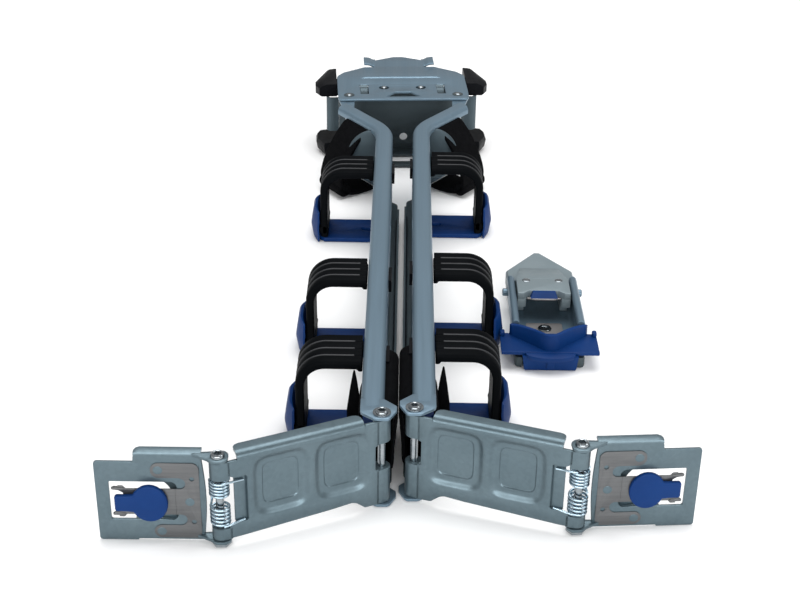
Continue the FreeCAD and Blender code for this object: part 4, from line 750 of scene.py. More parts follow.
linkShape = {
    "front": -3.5, "sheet": 1.2, "start": 3.5, "end": 64.0, "top": 42.0, "foot": 1.8, "roll": 7.4, "rounding": 3.0,
    "dishes": (18.0, 43.4), "dishMiddle": 24.4, "dishWide": 24.4, "dishTall": 28.4, "dishDepth": 1.5,
    # how far in from the rim, and the share of the depth or the drop below it reached there
    "dishSlope": ((0.0, -0.01), (0.6, 0.03), (1.3, 0.13), (2.2, 0.32), (3.3, 0.57), (4.4, 0.80), (5.3, 0.93),
                  (6.3, 0.99), (7.6, 1.0)),
    "panelWide": 14.8, "panelTall": 18.8, "panelStep": 0.5,
    "panelSlope": ((-0.3, 0.02), (0.0, 0.14), (0.3, 0.4), (0.6, 0.5), (1.2, 0.5)),
    # how far the rolled edge is drawn back along its length
    "rollEnds": ((8.6, 1.0), (9.0, 0.55), (9.8, 0.18), (11.2, 0.0), (58.2, 0.0), (59.8, 0.18), (60.6, 0.55),
                 (60.9, 1.0)), "rollBack": 2.6,
    "knuckles": ((0.0, 1.8, 18.0), (0.0, 30.3, 41.1), (67.5, 3.4, 8.8), (67.5, 31.0, 39.2)),
    "knuckleRadius": 3.5, "knuckleBore": 1.7,
}


def dishPatch(side, middle):
    # a pressed dish: soft slope in from its rim, then a crisp step down to a flat panel
    k = linkShape
    around = 64

    def ring(wide, tall, power, depth):
        loop = []
        for step in range(around):
            angle = 2 * math.pi * (step + 0.5) / around
            dx, dz = math.cos(angle), math.sin(angle)
            reach = (abs(dx / (wide / 2)) ** power + abs(dz / (tall / 2)) ** power) ** (-1 / power)
            loop.append(((middle + dx * reach) * side, k["front"] + depth, k["dishMiddle"] + dz * reach))
        return loop

    depth = k["dishDepth"]
    wide, tall, panelWide, panelTall = (k[key] for key in ("dishWide", "dishTall", "panelWide", "panelTall"))
    profile = [(wide - inset, tall - inset, 4.6 + inset * 0.2, depth * share) for inset, share in k["dishSlope"]]
    profile += [(panelWide - inset, panelTall - inset, 6.5, depth + drop) for inset, drop in k["panelSlope"]]
    profile.append((panelWide * 0.5, panelTall * 0.5, 6.5, depth + k["panelStep"]))
    shape = bmesh.new()
    fronts = [[shape.verts.new(point) for point in ring(*values)] for values in profile]
    backs = [[shape.verts.new((x, y + k["sheet"], z)) for x, y, z in ring(*values)] for values in profile]
    outline = [(x, z) for x, y, z in ring(wide - 0.3, tall - 0.3, 4.6, 0.0)]
    return skin(shape, backs[::-1] + fronts, 1), outline


def knuckle(low, high, radius, bore):
    return lathe([(bore, low), (radius - 0.3, low), (radius, low + 0.3), (radius, high - 0.3), (radius - 0.3, high),
                  (bore, high), (bore, low)], 36)


def makeLink(side):
    k = linkShape
    name = sideNames[side]
    t, front, top, roll, r = k["sheet"], k["front"], k["top"], k["roll"], k["rounding"]
    near, far, brow = k["start"] - 1.0, k["end"] + 1, top - r + 0.14
    dishes, outlines = zip(*(dishPatch(side, middle) for middle in k["dishes"]))
    face = [(near, k["foot"], 0.6), (8.6, k["foot"], 1.4), (13.2, 5.7, 4.0), (23.0, 5.0, 6), (60.5, 3.78),
            (far, 3.78), (far, 9.0), (62.5, 10.5, 0.5), (57.2, 10.5, 1), (57.2, 31.5, 1), (62.5, 31.5, 0.5),
            (far, 33.0), (far, 39.2), (60.9, 39.2), (60.9, brow), (8.6, brow), (8.6, 41.1, 0.5), (near, 41.1),
            (near, 30.3), (near + 1.6, 29.6, 0.5), (near + 1.6, 18.6, 0.5), (near, 18.0)]
    pieces = [upright(onSide(face, side), outlines, t, 0.12, front)]
    # the recessed spring seat beside the outer hinge, and its edge
    for left, right, corner, deep, rim, back in ((56.9, 62.3, 0.5, 0.9, 0.15, 1.3), (56.7, 57.4, 0.0, 2.0, 0.1, 0.2)):
        seat = block(left, 10.2, right, 31.8, corner)
        pieces.append(upright(onSide(seat, side), [], deep, rim, front + back))
    # rolled top edge: a quarter turn back from the face, its far corners rounded in plan
    quarter = [math.radians(15 * step) for step in range(7)]
    section = [(front - 0.01 + r - r * math.cos(turn), top - r + r * math.sin(turn)) for turn in quarter]
    section += [(front + roll - 0.5, top), (front + roll, top - 0.4), (front + roll, top - t), (front + r, top - t)]
    section += [(front + r - (r - t) * math.cos(turn), top - r + (r - t) * math.sin(turn)) for turn in quarter[::-1]]
    rolled = bmesh.new()
    rows = [[rolled.verts.new((x * side, y - max(0.0, (y - front - r) / (roll - r)) * pull * k["rollBack"], z))
             for y, z in section] for x, pull in k["rollEnds"]]
    pieces += [skin(rolled, rows, -1), *dishes]
    for axis, low, high in k["knuckles"]:
        pieces.append(moved(knuckle(low, high, k["knuckleRadius"], k["knuckleBore"]), axis * side))
        reach = (-0.2, k["start"]) if axis == 0.0 else (k["end"], axis + 0.2)
        leaf = block(reach[0], low + 0.1, reach[1], high - 0.1)
        pieces.append(upright(onSide(leaf, side), [], t, 0.1, front))
    finishPiece("linkPlate_" + name, together(*pieces), linkFrame(side), "zincSheet", "link_" + name,
                ["link_plate_" + name], crease=32)


def screwShape(top, radius, high, pin, foot=0.05):
    # a pan head with a six-lobed recess on a plain shank
    rings = [(0, foot), (pin, foot), (pin, top), (radius, top), (radius * 1.03, top + high * 0.08),
             (radius, top + high * 0.3), (radius * 0.97, top + high * 0.62), (radius * 0.88, top + high * 0.86),
             (radius * 0.76, top + high), (radius * 0.62, top + high * 0.97), (radius * 0.55, top + high * 0.90, True),
             (radius * 0.50, top + high * 0.05, True), (0, top - high * 0.1)]
    return lathe(rings, 48, 6, 0.12)


hingeShape = {
    "nearScrew": (42.65, 2.5, 1.45, 1.6, 0.3), "outerScrew": (40.75, 2.7, 1.45, 1.6),
    "washer": ((1.75, 42.62), (3.6, 42.62), (3.6, 43.0), (1.75, 43.0), (1.75, 42.62)),
    "nearFoot": ((0, 0), (2.6, 0), (2.7, 0.12), (2.7, 0.26), (0, 0.26)),
    "nut": ((1.62, 0), (3.3, 0, True), (3.9, 0.35, True), (3.9, 1.5, True), (3.4, 1.84, True), (1.62, 1.84), (1.62, 0)),
    # each coil's foot and its rise
    "coils": ((9.65, 8.6), (22.9, 7.2)), "turns": 5.0, "coilRadius": 3.5, "wireRadius": 0.55, "legRadius": 0.5,
    "joinHeights": (18.25, 22.9), "joinReach": 3.4, "post": (18.0, 23.2), "postBack": 3.2,
    # the outer legs: the height of each and its drop along the way
    "legs": ((9.9, 0.9), (30.0, -0.6)), "legPath": ((67.5, -3.5), (64.5, -3.45), (61.5, -3.0), (58.6, -2.75)),
}


def makeHinges(side):
    k = hingeShape
    name = sideNames[side]
    near = together(screwShape(*k["nearScrew"]), lathe(k["washer"], 36), lathe(k["nearFoot"], 28))
    finishPiece("nearHingeScrew_" + name, near, armFrame(side), "screwSteel", "arm_" + name,
                ["near_hinge_screw_" + name])
    finishPiece("outerHingeScrew_" + name, screwShape(*k["outerScrew"]), latchFrame(side), "screwSteel",
                "link_" + name, ["outer_hinge_screw_" + name])
    finishPiece("outerHingeNut_" + name, lathe(k["nut"], 36), latchFrame(side), "screwSteel", "link_" + name,
                ["outer_hinge_nut_" + name])
    # torsion spring: two coils, their inner ends joined through a post behind the screw
    radius, wire = k["coilRadius"], k["legRadius"]
    pieces = []
    for foot, rise in k["coils"]:
        coil = treeMesh(springTree, pointCloud([(0, 0, 0)]), {"Turns": k["turns"], "Rise": rise, "Coil Radius": radius,
                                                              "Wire Radius": k["wireRadius"]})
        pieces.append(moved(coil, 0, 0, foot, turned(0 if side > 0 else 180, "Z")))
    for height in k["joinHeights"]:
        pieces.append(sweep([(radius * side, 0.0), (radius * side, k["joinReach"])], disc(0, height, wire, 8)))
    low, high = k["post"]
    post = lathe([(0, low), (wire, low), (wire, high), (0, high)], 10)
    pieces.append(moved(post, radius * side, k["postBack"]))
    finishPiece("hingeSpring_" + name, together(*pieces), latchFrame(side), "springWire", "latch_" + name,
                ["hinge_spring_" + name], crease=60)
    # the outer legs lie in the link plate's seat
    legs = []
    for height, drop in k["legs"]:
        leg = sweep(smoothPath(k["legPath"], 4), disc(0, height, wire, 10))
        for vert in leg.verts:
            vert.co.z += drop * (spots["linkLength"] - vert.co.x) / 9.0
            vert.co.x *= side
        legs.append(leg)
    finishPiece("springLegs_" + name, together(*legs), linkFrame(side), "springWire", "link_" + name, crease=60)


latchShape = {
    "inner": 6.6, "length": 47.5, "back": 1.2, "sheet": 1.2, "top": 41.0, "step": 36.5, "stepPlace": 32.2,
    "window": (16.4, 9.7, 42.3, 27.5), "bowRun": (3.4, 39.0), "lugs": (39.5, 1.9), "lugHole": 1.65,
    "recess": (15.2, 8.7, 33.0, 28.5), "recessBack": 2.3, "cutout": (27.4, 19.2, 8.9),
    "leaf": (7.6, 1.6, 26.0, 36.4), "leafSheet": 0.4, "leafHoles": ((10.4, 9.2), (10.4, 29.2)),
    "leafRivets": ((23.12, 33.2), (11.6, 18.6), (23.12, 4.6)), "prongs": (12.2, 24.0),
    "tab": (26.9, 18.7), "tabRadii": (7.1, 8.2), "tabOpening": 28, "tabSheet": 2.1,
}


def latchRoll(side):
    # top edge rolled back, with a rounded outer corner
    k = latchShape
    t, back, top = k["sheet"], k["back"], k["top"]
    section = [(back - 0.01, top - 1.45), (back + 0.1, top - 0.85), (back + 0.45, top - 0.3), (back + 1.2, top),
               (back + 4.1, top), (back + 4.4, top - 0.3), (back + 4.4, top - t), (back + t, top - t),
               (back + t, top - 1.45)]
    roll = bmesh.new()
    rows = [[roll.verts.new((x * side, y - max(0.0, y - back - t) * pull * 0.7, z - pull * 0.3 * (z > top - 1.3)))
             for y, z in section] for x, pull in ((k["inner"], 0.0), (k["stepPlace"] - 2.0, 0.0),
                                                  (k["stepPlace"] - 0.6, 0.4), (k["stepPlace"], 1.0))]
    return skin(roll, rows, -1)


def latchBow(side):
    # the inner edge bows forward between the two hinge lugs
    k = latchShape
    low, high = k["bowRun"]
    curl = bmesh.new()
    rows, steps = [], 14
    for step in range(steps + 1):
        lean = math.sin(math.pi * step / steps)
        x, y, z = k["inner"] - 1.3 * lean, k["back"] - 0.2 - 0.9 * lean, low + (high - low) * step / steps
        rows.append([curl.verts.new(((x + dx) * side, y + dy, z)) for dx, dy in
                     ((0, 0), (-0.25, 0.5), (0, 1.0), (2.4, 1.9), (2.8, 1.5), (2.6, 0.9))])
    return skin(curl, rows, -1)


def makeLatch(side):
    k = latchShape
    name = sideNames[side]
    place = latchFrame(side)
    body = "latch_" + name
    t, back, inner, length, step, corner = (k[key] for key in ("sheet", "back", "inner", "length", "step", "stepPlace"))
    face = [(inner, 0.6, 0.6), (corner, 0.6), (corner + 0.4, 0.0, 0.3), (length, 0.0, 1.2), (length, step, 1.2),
            (corner + 0.3, step, 0.6), (corner, k["top"] - 1.2, 1.0), (inner, k["top"] - 1.2, 0.3)]
    left, low, right, high = k["window"]
    window = [(left, low, 2.4), (right, low, 0.8), (right, high, 0.8), (left, high, 2.4)]
    sheet = upright(onSide(face, side), [onSide(window, side)], t, 0.2, back)
    # a shallow box behind the window, its open side cut round the tab
    left, low, right, high = k["recess"]
    cx, cz, r = k["cutout"]
    edge = math.degrees(math.acos((right - cx) / r))
    floor = [(left, low), (right, low)]
    floor += [(cx + r * math.cos(math.radians(angle)), cz + r * math.sin(math.radians(angle)))
              for angle in (-edge - (360 - 2 * edge) * step / 30 for step in range(31))]
    floor += [(right, high), (left, high)]
    recess = [upright(onSide(floor, side), [], 0.8, 0.1, back + k["recessBack"])]
    for rim in (block(left, high - 1.1, right, high), block(left, low, right, low + 1.1), block(left, low, 16.5, high)):
        recess.append(upright(onSide(rim, side), [], 1.2, 0.02, back + t - 0.02))
    finishPiece("latchRecess_" + name, together(*recess), place, "zincSheet", body)
    lug = [(-4.0, -2.0, 2.0), (-2.0, -4.0, 2.0), (2.0, -4.0, 2.0), (4.0, -2.0, 1.5), (10.1, back, 1), (10.1, 2.4),
           (4.0, 3.0, 1), (-2.0, 4.0, 2.0), (-4.0, 2.0, 2.0)]
    lugs = [level(onSide(lug, side), [disc(0, 0, k["lugHole"])], t, 0.2, height) for height in k["lugs"]]
    finishPiece("latchBracket_" + name, together(sheet, latchRoll(side), latchBow(side), *lugs), place, "zincSheet",
                body, ["latch_bracket_" + name])

    # stainless leaf with two small holes beside the tongue
    lx, lz, rx, rz = k["leaf"]
    front = back - k["leafSheet"]
    leaf = [(lx, lz, 2.5), (rx, lz, 2.9), (rx, 7.6, 2.9), (13.0, 7.6, 2.4), (13.0, 12.6, 2.4), (17.0, 12.6),
            (17.0, 24.6), (13.0, 24.6, 2.4), (13.0, 29.6, 2.4), (rx, 29.6, 2.9), (rx, rz, 2.9), (lx, rz, 2.5)]
    holes = [onSide(disc(x, z, 0.95, 18), side) for x, z in k["leafHoles"]]
    finishPiece("latchLeaf_" + name, upright(onSide(leaf, side), holes, k["leafSheet"], 0.08, front), place,
                "springSteel", body, ["latch_leaf_" + name])
    rivets = treeMesh(rivetTree, pointCloud([(x * side, z, 0.0) for x, z in k["leafRivets"]]),
                      {"Head Radius": 1.8, "Crown": 0.16})
    finishPiece("leafRivets_" + name, moved(rivets, y=front - 0.05, pose=onEdge(1)), place, "zincSheet", body,
                ["leaf_rivets_" + name])

    # sprung tongue: two slots free it from the leaf, two hooked prongs stand at its end
    tongue = [(17.03, 12.6), (36.0, 12.6, 0.6), (37.0, 11.4, 0.5), (39.0, 11.4, 0.4), (39.0, 12.0, 0.2),
              (41.4, 12.0, 0.4), (41.4, 13.2, 0.4), (38.6, 13.6, 0.4), (37.0, 14.6, 0.5), (36.6, 18.6),
              (37.0, 22.6, 0.5), (38.6, 23.6, 0.4), (41.4, 24.0, 0.4), (41.4, 25.2, 0.4), (39.0, 25.2, 0.2),
              (39.0, 25.8, 0.4), (37.0, 25.8, 0.5), (36.0, 24.6, 0.6), (17.03, 24.6)]
    strip = upright(onSide(tongue, side), [], k["leafSheet"], 0.08, front)
    prongs = [upright(onSide(block(36.6, foot, 41.0, foot + 1.1, 0.3), side), [], 1.3, 0.15, front - 0.3)
              for foot in k["prongs"]]
    finishPiece("latchTongue_" + name, together(strip, *prongs), place, "springSteel", "tab_" + name,
                ["latch_tongue_" + name])

    # blue push tab: a round pad with a stem
    (cx, cz), (wide, tall), opening = k["tab"], k["tabRadii"], k["tabOpening"]
    turns = [math.radians(opening + (360 - 2 * opening) * step / 24) for step in range(25)]
    outline = [(cx + wide * math.cos(turn), cz + tall * math.sin(turn)) for turn in turns]
    outline += [(cx + 8.6, cz - 3.6, 1.2), (40.2, cz - 3.6, 1.0), (40.2, cz + 3.6, 1.0), (cx + 8.6, cz + 3.6, 1.2)]
    pad = upright(onSide(outline, side), [], k["tabSheet"], 0.55, front - 2.15)
    finishPiece("pushTab_" + name, pad, place, "blueMoulding", "tab_" + name, ["push_tab_" + name], crease=50)


for side in sideNames:
    makeLink(side)
    makeHinges(side)
    makeLatch(side)
print("links, hinges and latches made")


# elbow

elbowShape = {
    "sheet": 1.2, "plateFoot": 41.4, "pivotHole": 2.55, "dimple": (11.06, 12.0, 3.0),
    "louvre": (20.4, 1.6, 25.4, 17.2), "louvreMiddle": 22.9, "louvreHalf": 2.2,
    "louvreBow": ((1.4, 42.0), (2.8, 41.0), (5.0, 39.5), (9.4, 38.6), (13.8, 39.5), (16.0, 41.0), (17.4, 42.0)),
    "ear": ((14.4, 41.98), (15.8, 42.0), (17.0, 42.5), (18.3, 43.15), (20.0, 43.4), (21.7, 43.45)),
    "earHalf": 5.9, "earAlong": 55.8,
    "beadHalf": 25.5, "beadAlong": 28.6, "beadTop": 42.56, "beadRise": 0.62, "beadFade": 4.0,
    # across the bead, from near to far: distance and share of its rise
    "beadSection": ((-1.1, -0.5), (-0.9, 0.05), (-0.45, 0.5), (0.0, 0.85), (0.5, 1.0), (1.6, 1.0), (3.4, 0.75),
                    (5.4, 0.35), (7.4, 0.08), (8.0, -0.5)),
    "wallHalf": 38.0, "wallFoot": 0.8, "wallAlong": 15.4, "cableHole": (1.2, 9.4, 2.4), "floorNear": -10.5,
    "shelf": (19.8, 8.5), "pivotFoot": ((0, 0.2), (3.0, 0.2), (3.2, 0.4), (3.2, 0.8), (0, 0.8)),
    "pivotShank": ((0, 0.8), (2.5, 0.8), (2.5, 42.6), (0, 42.6)),
    "pivotShadeRing": ((1.6, 42.3), (3.0, 42.3), (3.2, 42.5), (3.1, 42.75), (2.9, 42.8), (1.6, 42.66)),
    "guardHeights": (13.6, 34.95), "guardMiddle": (42.2, 18.6), "guardRadius": 2.8,
    # height of each ring of a bumper cap, and how far it is grown
    "upperRings": ((35.0, -1.2), (35.8, 0.0), (40.2, 0.0), (41.4, -1.6), (42.6, -4.4)),
    "lowerRings": ((0.0, -3.4), (2.6, -0.8), (6.8, 0.0), (8.6, -0.8)),
    "capScrew": (42.4, 8.9, 4.3),
}


def mirrored(half):
    # a right half, from the near middle round to the far middle, closed on the left
    return half + onSide(half[::-1], -1)


def makeElbowTop():
    k = elbowShape
    top = mirrored([(38.4, -7.4, 3.2), (38.8, 6.0, 6.0), (38.8, 32.0, 6.0), (34.6, 38.6, 5.0), (25.2, 45.0, 4.0),
                    (21.7, 47.6, 1.0), (15.8, 47.6, 0.5), (15.2, 49.4, 0.5), (15.2, 59.5, 1.5), (3.0, 65.8, 6.0)])
    left, near, right, far = k["louvre"]
    louvres = [block(-right, near, -left, far, 0.6), block(left, near, right, far, 0.6)]
    trapezoid = [(-10.4, -3.0), (10.4, -3.0), (4.6, 4.6), (-4.6, 4.6)]
    pivots = [disc(elbowPivot * side, 0, k["pivotHole"]) for side in sideNames]
    dimples = [disc(k["dimple"][0] * side, *k["dimple"][1:]) for side in sideNames]
    pieces = [level(top, [*louvres, trapezoid, *pivots, *dimples], k["sheet"], 0.2, k["plateFoot"])]
    # pressed step: a crisp near edge, a plateau that fades into the plate behind
    bead = bmesh.new()
    rows, steps, half = [], 48, k["beadHalf"]
    for step in range(steps + 1):
        x = -half + 2 * half * step / steps
        fade = min(1.0, max(0.0, (half - abs(x)) / k["beadFade"]))
        high = k["beadRise"] * fade * fade * (3 - 2 * fade)
        rows.append([bead.verts.new((x, k["beadAlong"] + dy, k["beadTop"] + (0.04 + high) * dz))
                     for dy, dz in k["beadSection"]])
    for first, last in zip(rows, rows[1:]):
        for index in range(len(first) - 1):
            bead.faces.new((first[index], last[index], last[index + 1], first[index + 1]))
    pieces.append(bead)
    bows = []
    for side in sideNames:
        # the louvre's tongue hangs in a deep bow from its near and far edges
        wide, half = k["louvreHalf"], k["earHalf"]
        bow = sweep(smoothPath(k["louvreBow"], 4), [(-0.4, -wide), (-0.4, wide), (0.4, wide), (0.4, -wide)])
        bows.append(moved(bow, pose=sideways(k["louvreMiddle"] * side)))
        # an ear joined to the tongue's side, stepped up and rolled at its rim
        ear = sweep(smoothPath(k["ear"], 4), [(-0.6, -half), (-0.6, half), (0.6, half), (0.6, -half)])
        pieces.append(bevelled(moved(ear, pose=onEdge(side, k["earAlong"])), 0.2, 2, 50))
    finishPiece("elbowTop", together(*pieces), elbowFrame, "zincBar", "elbow", ["elbow_top_plate"])
    # the louvre bows take the darker zinc as painted shade
    finishPiece("elbowLouvres", together(*bows), elbowFrame, "zincPaintedShade", "elbow")


def makeElbowFrame():
    k = elbowShape
    t, half, back = k["sheet"], k["wallHalf"], k["wallAlong"] + k["sheet"]
    pivots = [disc(elbowPivot * side, 0, k["pivotHole"]) for side in sideNames]
    wall = upright(block(-half, k["wallFoot"], half, k["plateFoot"], 0.6), [disc(*k["cableHole"])], t, 0.15,
                   k["wallAlong"])
    floor = level([(-half, k["floorNear"], 2), (half, k["floorNear"], 2), (half, back), (-half, back)],
                  [block(-11.6, -4.7, 11.6, 5.4, 0.5), *pivots], t, 0.15, k["wallFoot"])
    wide, near = k["shelf"]
    shelf = level(block(-wide, near, wide, back, 0.8), [], t, 0.15, 40.15)
    # the wall, floor and shelf are coloured in the dark zinc as painted shade
    finishPiece("elbowFrame", together(wall, floor, shelf), elbowFrame, "zincShade", "elbow", ["elbow_frame"])


def makeElbowPivots():
    k = elbowShape
    heads = treeMesh(rivetTree, pointCloud([(elbowPivot * side, 0, 42.65) for side in sideNames]),
                     {"Head Radius": 1.9, "Crown": 0.85})
    pins = [moved(lathe(k[part], 28), elbowPivot * side) for part in ("pivotShank", "pivotFoot") for side in sideNames]
    finishPiece("elbowPivots", together(heads, *pins), elbowFrame, "screwSteel", "elbow", ["elbow_pivots"])
    across, along, _ = k["dimple"]
    small = treeMesh(rivetTree, pointCloud([(across * side, along, 42.6) for side in sideNames]),
                     {"Head Radius": 1.7, "Crown": 0.9})
    # dark rings of painted shade round the pivot heads
    rings = [moved(lathe(k["pivotShadeRing"], 32), elbowPivot * side) for side in sideNames]
    finishPiece("pivotShadeRings", together(*rings), elbowFrame, "zincShade", "elbow")
    finishPiece("elbowRivets", small, elbowFrame, "screwSteel", "elbow", ["elbow_plate_rivets"])


def bumper(rings, outline, side):
    cap = bmesh.new()
    loops = [[cap.verts.new((x * side, y, z)) for x, y in outline(grow)] for z, grow in rings]
    return bevelled(skin(cap, loops, 1), 0.5, 3, 20)


def upperOutline(grow):
    shrunk = min(grow, 0)
    return [(39.1, 17.5 - shrunk * 0.1), (49.6 + grow, 17.5), (52.0 + grow, 22.3), (52.0 + grow, 28.3),
            (45.8 + grow * 0.5, 45.1 + grow * 0.3), (42.0 + shrunk * 0.3, 46.0 + grow * 0.2),
            (39.1, 46.0 + grow * 0.2)]


def lowerOutline(grow):
    return [(38.3, 9.6), (47.3 + grow * 0.5, 7.9 - grow * 0.1), (52.0 + grow, 16.0), (52.0 + grow, 24.0),
            (50.2 + grow, 29.0), (44.0, 31.0 + grow * 0.3), (38.3, 31.0 + grow * 0.3)]


def makeElbowSide(side):
    k = elbowShape
    name = sideNames[side]
    (across, along), r = k["guardMiddle"], k["guardRadius"]
    turns = [math.radians(100 * step / 8) for step in range(1, 9)]
    path = [(38.05, 16.0), (40.6, 16.0)]
    path += [(across + r * math.sin(turn), along - r * math.cos(turn)) for turn in turns]
    path.append((44.4, 24.0))
    low, high = k["guardHeights"]
    guard = sweep(onSide(path, side), [(-0.5, low), (-0.5, high), (0.5, high), (0.5, low)])
    # the guard takes the darker zinc as painted shade
    finishPiece("elbowGuard_" + name, guard, elbowFrame, "zincPaintedShade", "elbow", ["elbow_guard_" + name])
    upper = bumper(k["upperRings"], upperOutline, side)
    lip = level(onSide(block(35.4, 18.8, 39.4, 32.0, 0.5), side), [], 6.0, 0.4, 35.05)
    finishPiece("upperCap_" + name, together(upper, lip), elbowFrame, "blackMoulding", "elbow",
                ["upper_cap_" + name], crease=40)
    finishPiece("lowerCap_" + name, bumper(k["lowerRings"], lowerOutline, side), elbowFrame, "blackMoulding", "elbow",
                ["lower_cap_" + name], crease=40)


makeElbowTop()
makeElbowFrame()
makeElbowPivots()
for side in sideNames:
    makeElbowSide(side)
across, along, high = elbowShape["capScrew"]
capScrews = [moved(screwShape(0.0, 1.9, 1.1, 1.0, -0.4), across * side, along, high, turned(90, "X"))
             for side in sideNames]
finishPiece("capScrews", together(*capScrews), elbowFrame, "screwSteel", "elbow", ["cap_screws"])
print("elbow made")


# loose attachment bracket

clipShape = {
    "width": 32.6, "wall": 1.8, "bend": 3.0, "wallTop": 14.0, "height": 16.4, "rail": 1.9, "railStart": 18.4,
    "start": 7.5, "end": 66.0, "seam": 0.3, "pin": (57.0, 10.5),
    "pinRings": ((0, 0), (1.9, 0), (1.9, 2.9), (1.5, 3.3), (0, 3.3)),
    "noseOver": 0.5, "shoulder": 77.5, "apex": 98.0, "tip": 1.5, "noseTop": 12.0, "noseFoot": 3.2,
    "blockNear": 45.2, "blockTop": 16.6, "blockHalf": 12.9, "blockFar": 60.0, "slab": 3.8, "rampFar": 80.0,
    "rivets": (8.0, 58.5), "floorRivet": 34.4,
    "floorRivetRings": ((0, 2.9), (3.2, 2.9), (3.3, 3.2), (3.0, 3.5), (2.2, 3.45), (1.9, 3.1), (0, 3.1)),
    "leafHalf": 8.3, "leafHeight": 12.98, "button": ((13.8, 6.6, 44.7), (16.5, 5.5, 46.1)), "buttonFar": 47.9,
    "span": 45.6, "wingNear": 1.2, "wingFar": 19.0, "wingFoot": 7.6, "wing": 1.6,
    "bowHalf": ((2.4, 2.9), (5.0, 4.9), (9.0, 8.9), (16.2, 15.5), (17.3, 16.2)), "bowNear": 2.4, "bowHeight": 8.2,
    "skirtHalf": 12.6, "skirtFar": 7.0, "skirtRings": ((0.0, 1.0, 0.4), (1.0, 0.5, -0.4), (5.2, 0.0, -0.6),
                                                      (7.62, -0.4, -0.6)),
    "crescent": (11.6, 0.9, 4.6), "crescentFoot": 6.45,
}


def makeClipChannel():
    # one sheet folded up both sides and rolled over at the top
    k = clipShape
    half, wall, bend, near, end = k["width"] / 2, k["wall"], k["bend"], k["wingFar"], k["end"]
    mid = wall / 2
    quarter = [math.radians(15 * step) for step in range(7)]
    section = [(-half + mid, k["wallTop"]), (-half + mid, 4.0)]
    section += [(-half + mid + bend * (1 - math.cos(turn)), mid + bend - bend * math.sin(turn)) for turn in quarter]
    section += onSide(section[::-1], -1)
    trough = sweep(section, [(-mid, near + k["seam"]), (-mid, end), (mid, end), (mid, near + k["seam"])])
    moved(trough, pose=onEdge(1))
    pieces = [trough, plate(block(-half + 2.0, k["start"], half - 2.0, near + 1.0, 2.0), [], wall, 0.3)]
    r, long = k["rail"], end - k["railStart"]
    for side in sideNames:
        rail = lathe([(0, 0), (r - 0.3, 0), (r, 0.3), (r, long - 2.9), (r * 0.75, long - 1.4), (0, long - 1.1)], 24)
        pieces.append(moved(rail, (half - mid) * side, k["railStart"], k["height"] - r, turned(-90, "X")))
        pieces.append(moved(lathe(k["pinRings"], 24), half * side, *k["pin"], turned(90 * side, "Y")))
    finishPiece("clipChannel", together(*pieces), clipFrame, "zincBar", "clip", ["clip_channel"])


def makeClipNose():
    # an arrow-shaped casting with a raised block bridging the channel
    k = clipShape
    near, top, wide = k["blockNear"], k["blockTop"], k["blockHalf"]
    nose = bmesh.new()
    rings = []
    for z, pull in ((k["noseFoot"], 1.5), (5.0, 0.0), (k["noseTop"] - 1.0, 0.0), (k["noseTop"], 0.8)):
        reach, tip = k["width"] / 2 + k["noseOver"] - pull, k["tip"] - pull * 0.3
        start, shoulder = k["end"] + k["seam"], k["shoulder"] - pull * 0.3
        rings.append([nose.verts.new((x, y, z)) for x, y in
                      ((-reach, start), (reach, start), (reach, shoulder), (tip, k["apex"] - pull),
                       (-tip, k["apex"] - pull), (-reach, shoulder))])
    pieces = [bevelled(skin(nose, rings, 1), 0.45, 3, 20)]
    # the block: a notched slab on two cheeks, and a ramp down to the nose
    slab = [(-wide, near, 0.4), (-10.0, near), (-6.95, near + 2.8), (6.95, near + 2.8), (10.0, near), (wide, near, 0.4),
            (wide, k["blockFar"]), (-wide, k["blockFar"])]
    pieces.append(level(slab, [], k["slab"], 0.35, top - k["slab"]))
    for side in sideNames:
        cheek = [(8.7, near + 0.9), (10.2, near + 0.02), (12.88, near + 0.02), (12.88, 65.5), (8.7, 65.5)]
        pieces.append(level(onSide(cheek, side), [], 4.8, 0.2, 8.5))
        left, right = (8.9, 12.7) if side > 0 else (-12.7, -8.9)
        pieces.append(level(block(left, 54.0, right, 65.5, 0.6), [], 6.8, 0.3, 2.0))
    ramp = bmesh.new()
    for x, y, z in ((wide, 59.6, top - 0.01), (10.0, 61.6, top - 0.01), (9.6, k["rampFar"], k["noseTop"] + 0.1),
                    (wide, 59.6, 11.2), (wide, 65.5, 11.2), (9.6, k["rampFar"], 11.2)):
        for side in sideNames:
            ramp.verts.new((x * side, y, z))
    bmesh.ops.convex_hull(ramp, input=ramp.verts)
    pieces.append(bevelled(ramp, 0.3, 2, 20))
    finishPiece("clipNose", together(*pieces), clipFrame, "greyCasting", "clip", ["clip_nose"], crease=30)


def makeClipSmallParts():
    k = clipShape
    across, along = k["rivets"]
    rivets = treeMesh(rivetTree, pointCloud([(across * side, along, k["blockTop"] - 0.05) for side in sideNames]),
                      {"Head Radius": 2.0, "Crown": 0.45})
    floorRivet = moved(lathe(k["floorRivetRings"], 32), 0, k["floorRivet"])
    finishPiece("clipRivets", together(rivets, floorRivet), clipFrame, "screwSteel", "clip", ["clip_rivets"])
    floorPlate = level(block(-8.8, 19.3, 8.8, 40.0, 1.2), [], 1.0, 0.2, 1.85)
    finishPiece("clipFloorPlate", floorPlate, clipFrame, "springBright", "clip", ["clip_floor_plate"])
    wide = k["leafHalf"]
    leaf = level([(-4.6, 44.2, 0.5), (4.6, 44.2, 0.5), (wide, 45.4, 0.3), (wide, 45.9), (-wide, 45.9),
                  (-wide, 45.4, 0.3)], [], 0.8, 0.15, k["leafHeight"])
    finishPiece("clipLeaf", leaf, clipFrame, "springBright", "clip_latch", ["clip_leaf"])
    button = bmesh.new()
    rings = [[button.verts.new((x * wide, y, z)) for x, y in
              ((-1, front), (1, front), (1, k["buttonFar"]), (-1, k["buttonFar"]))] for z, wide, front in k["button"]]
    finishPiece("clipButton", bevelled(skin(button, rings, 1), 0.25, 2, 20), clipFrame, "blueMoulding", "clip_latch",
                ["clip_button"], crease=50)


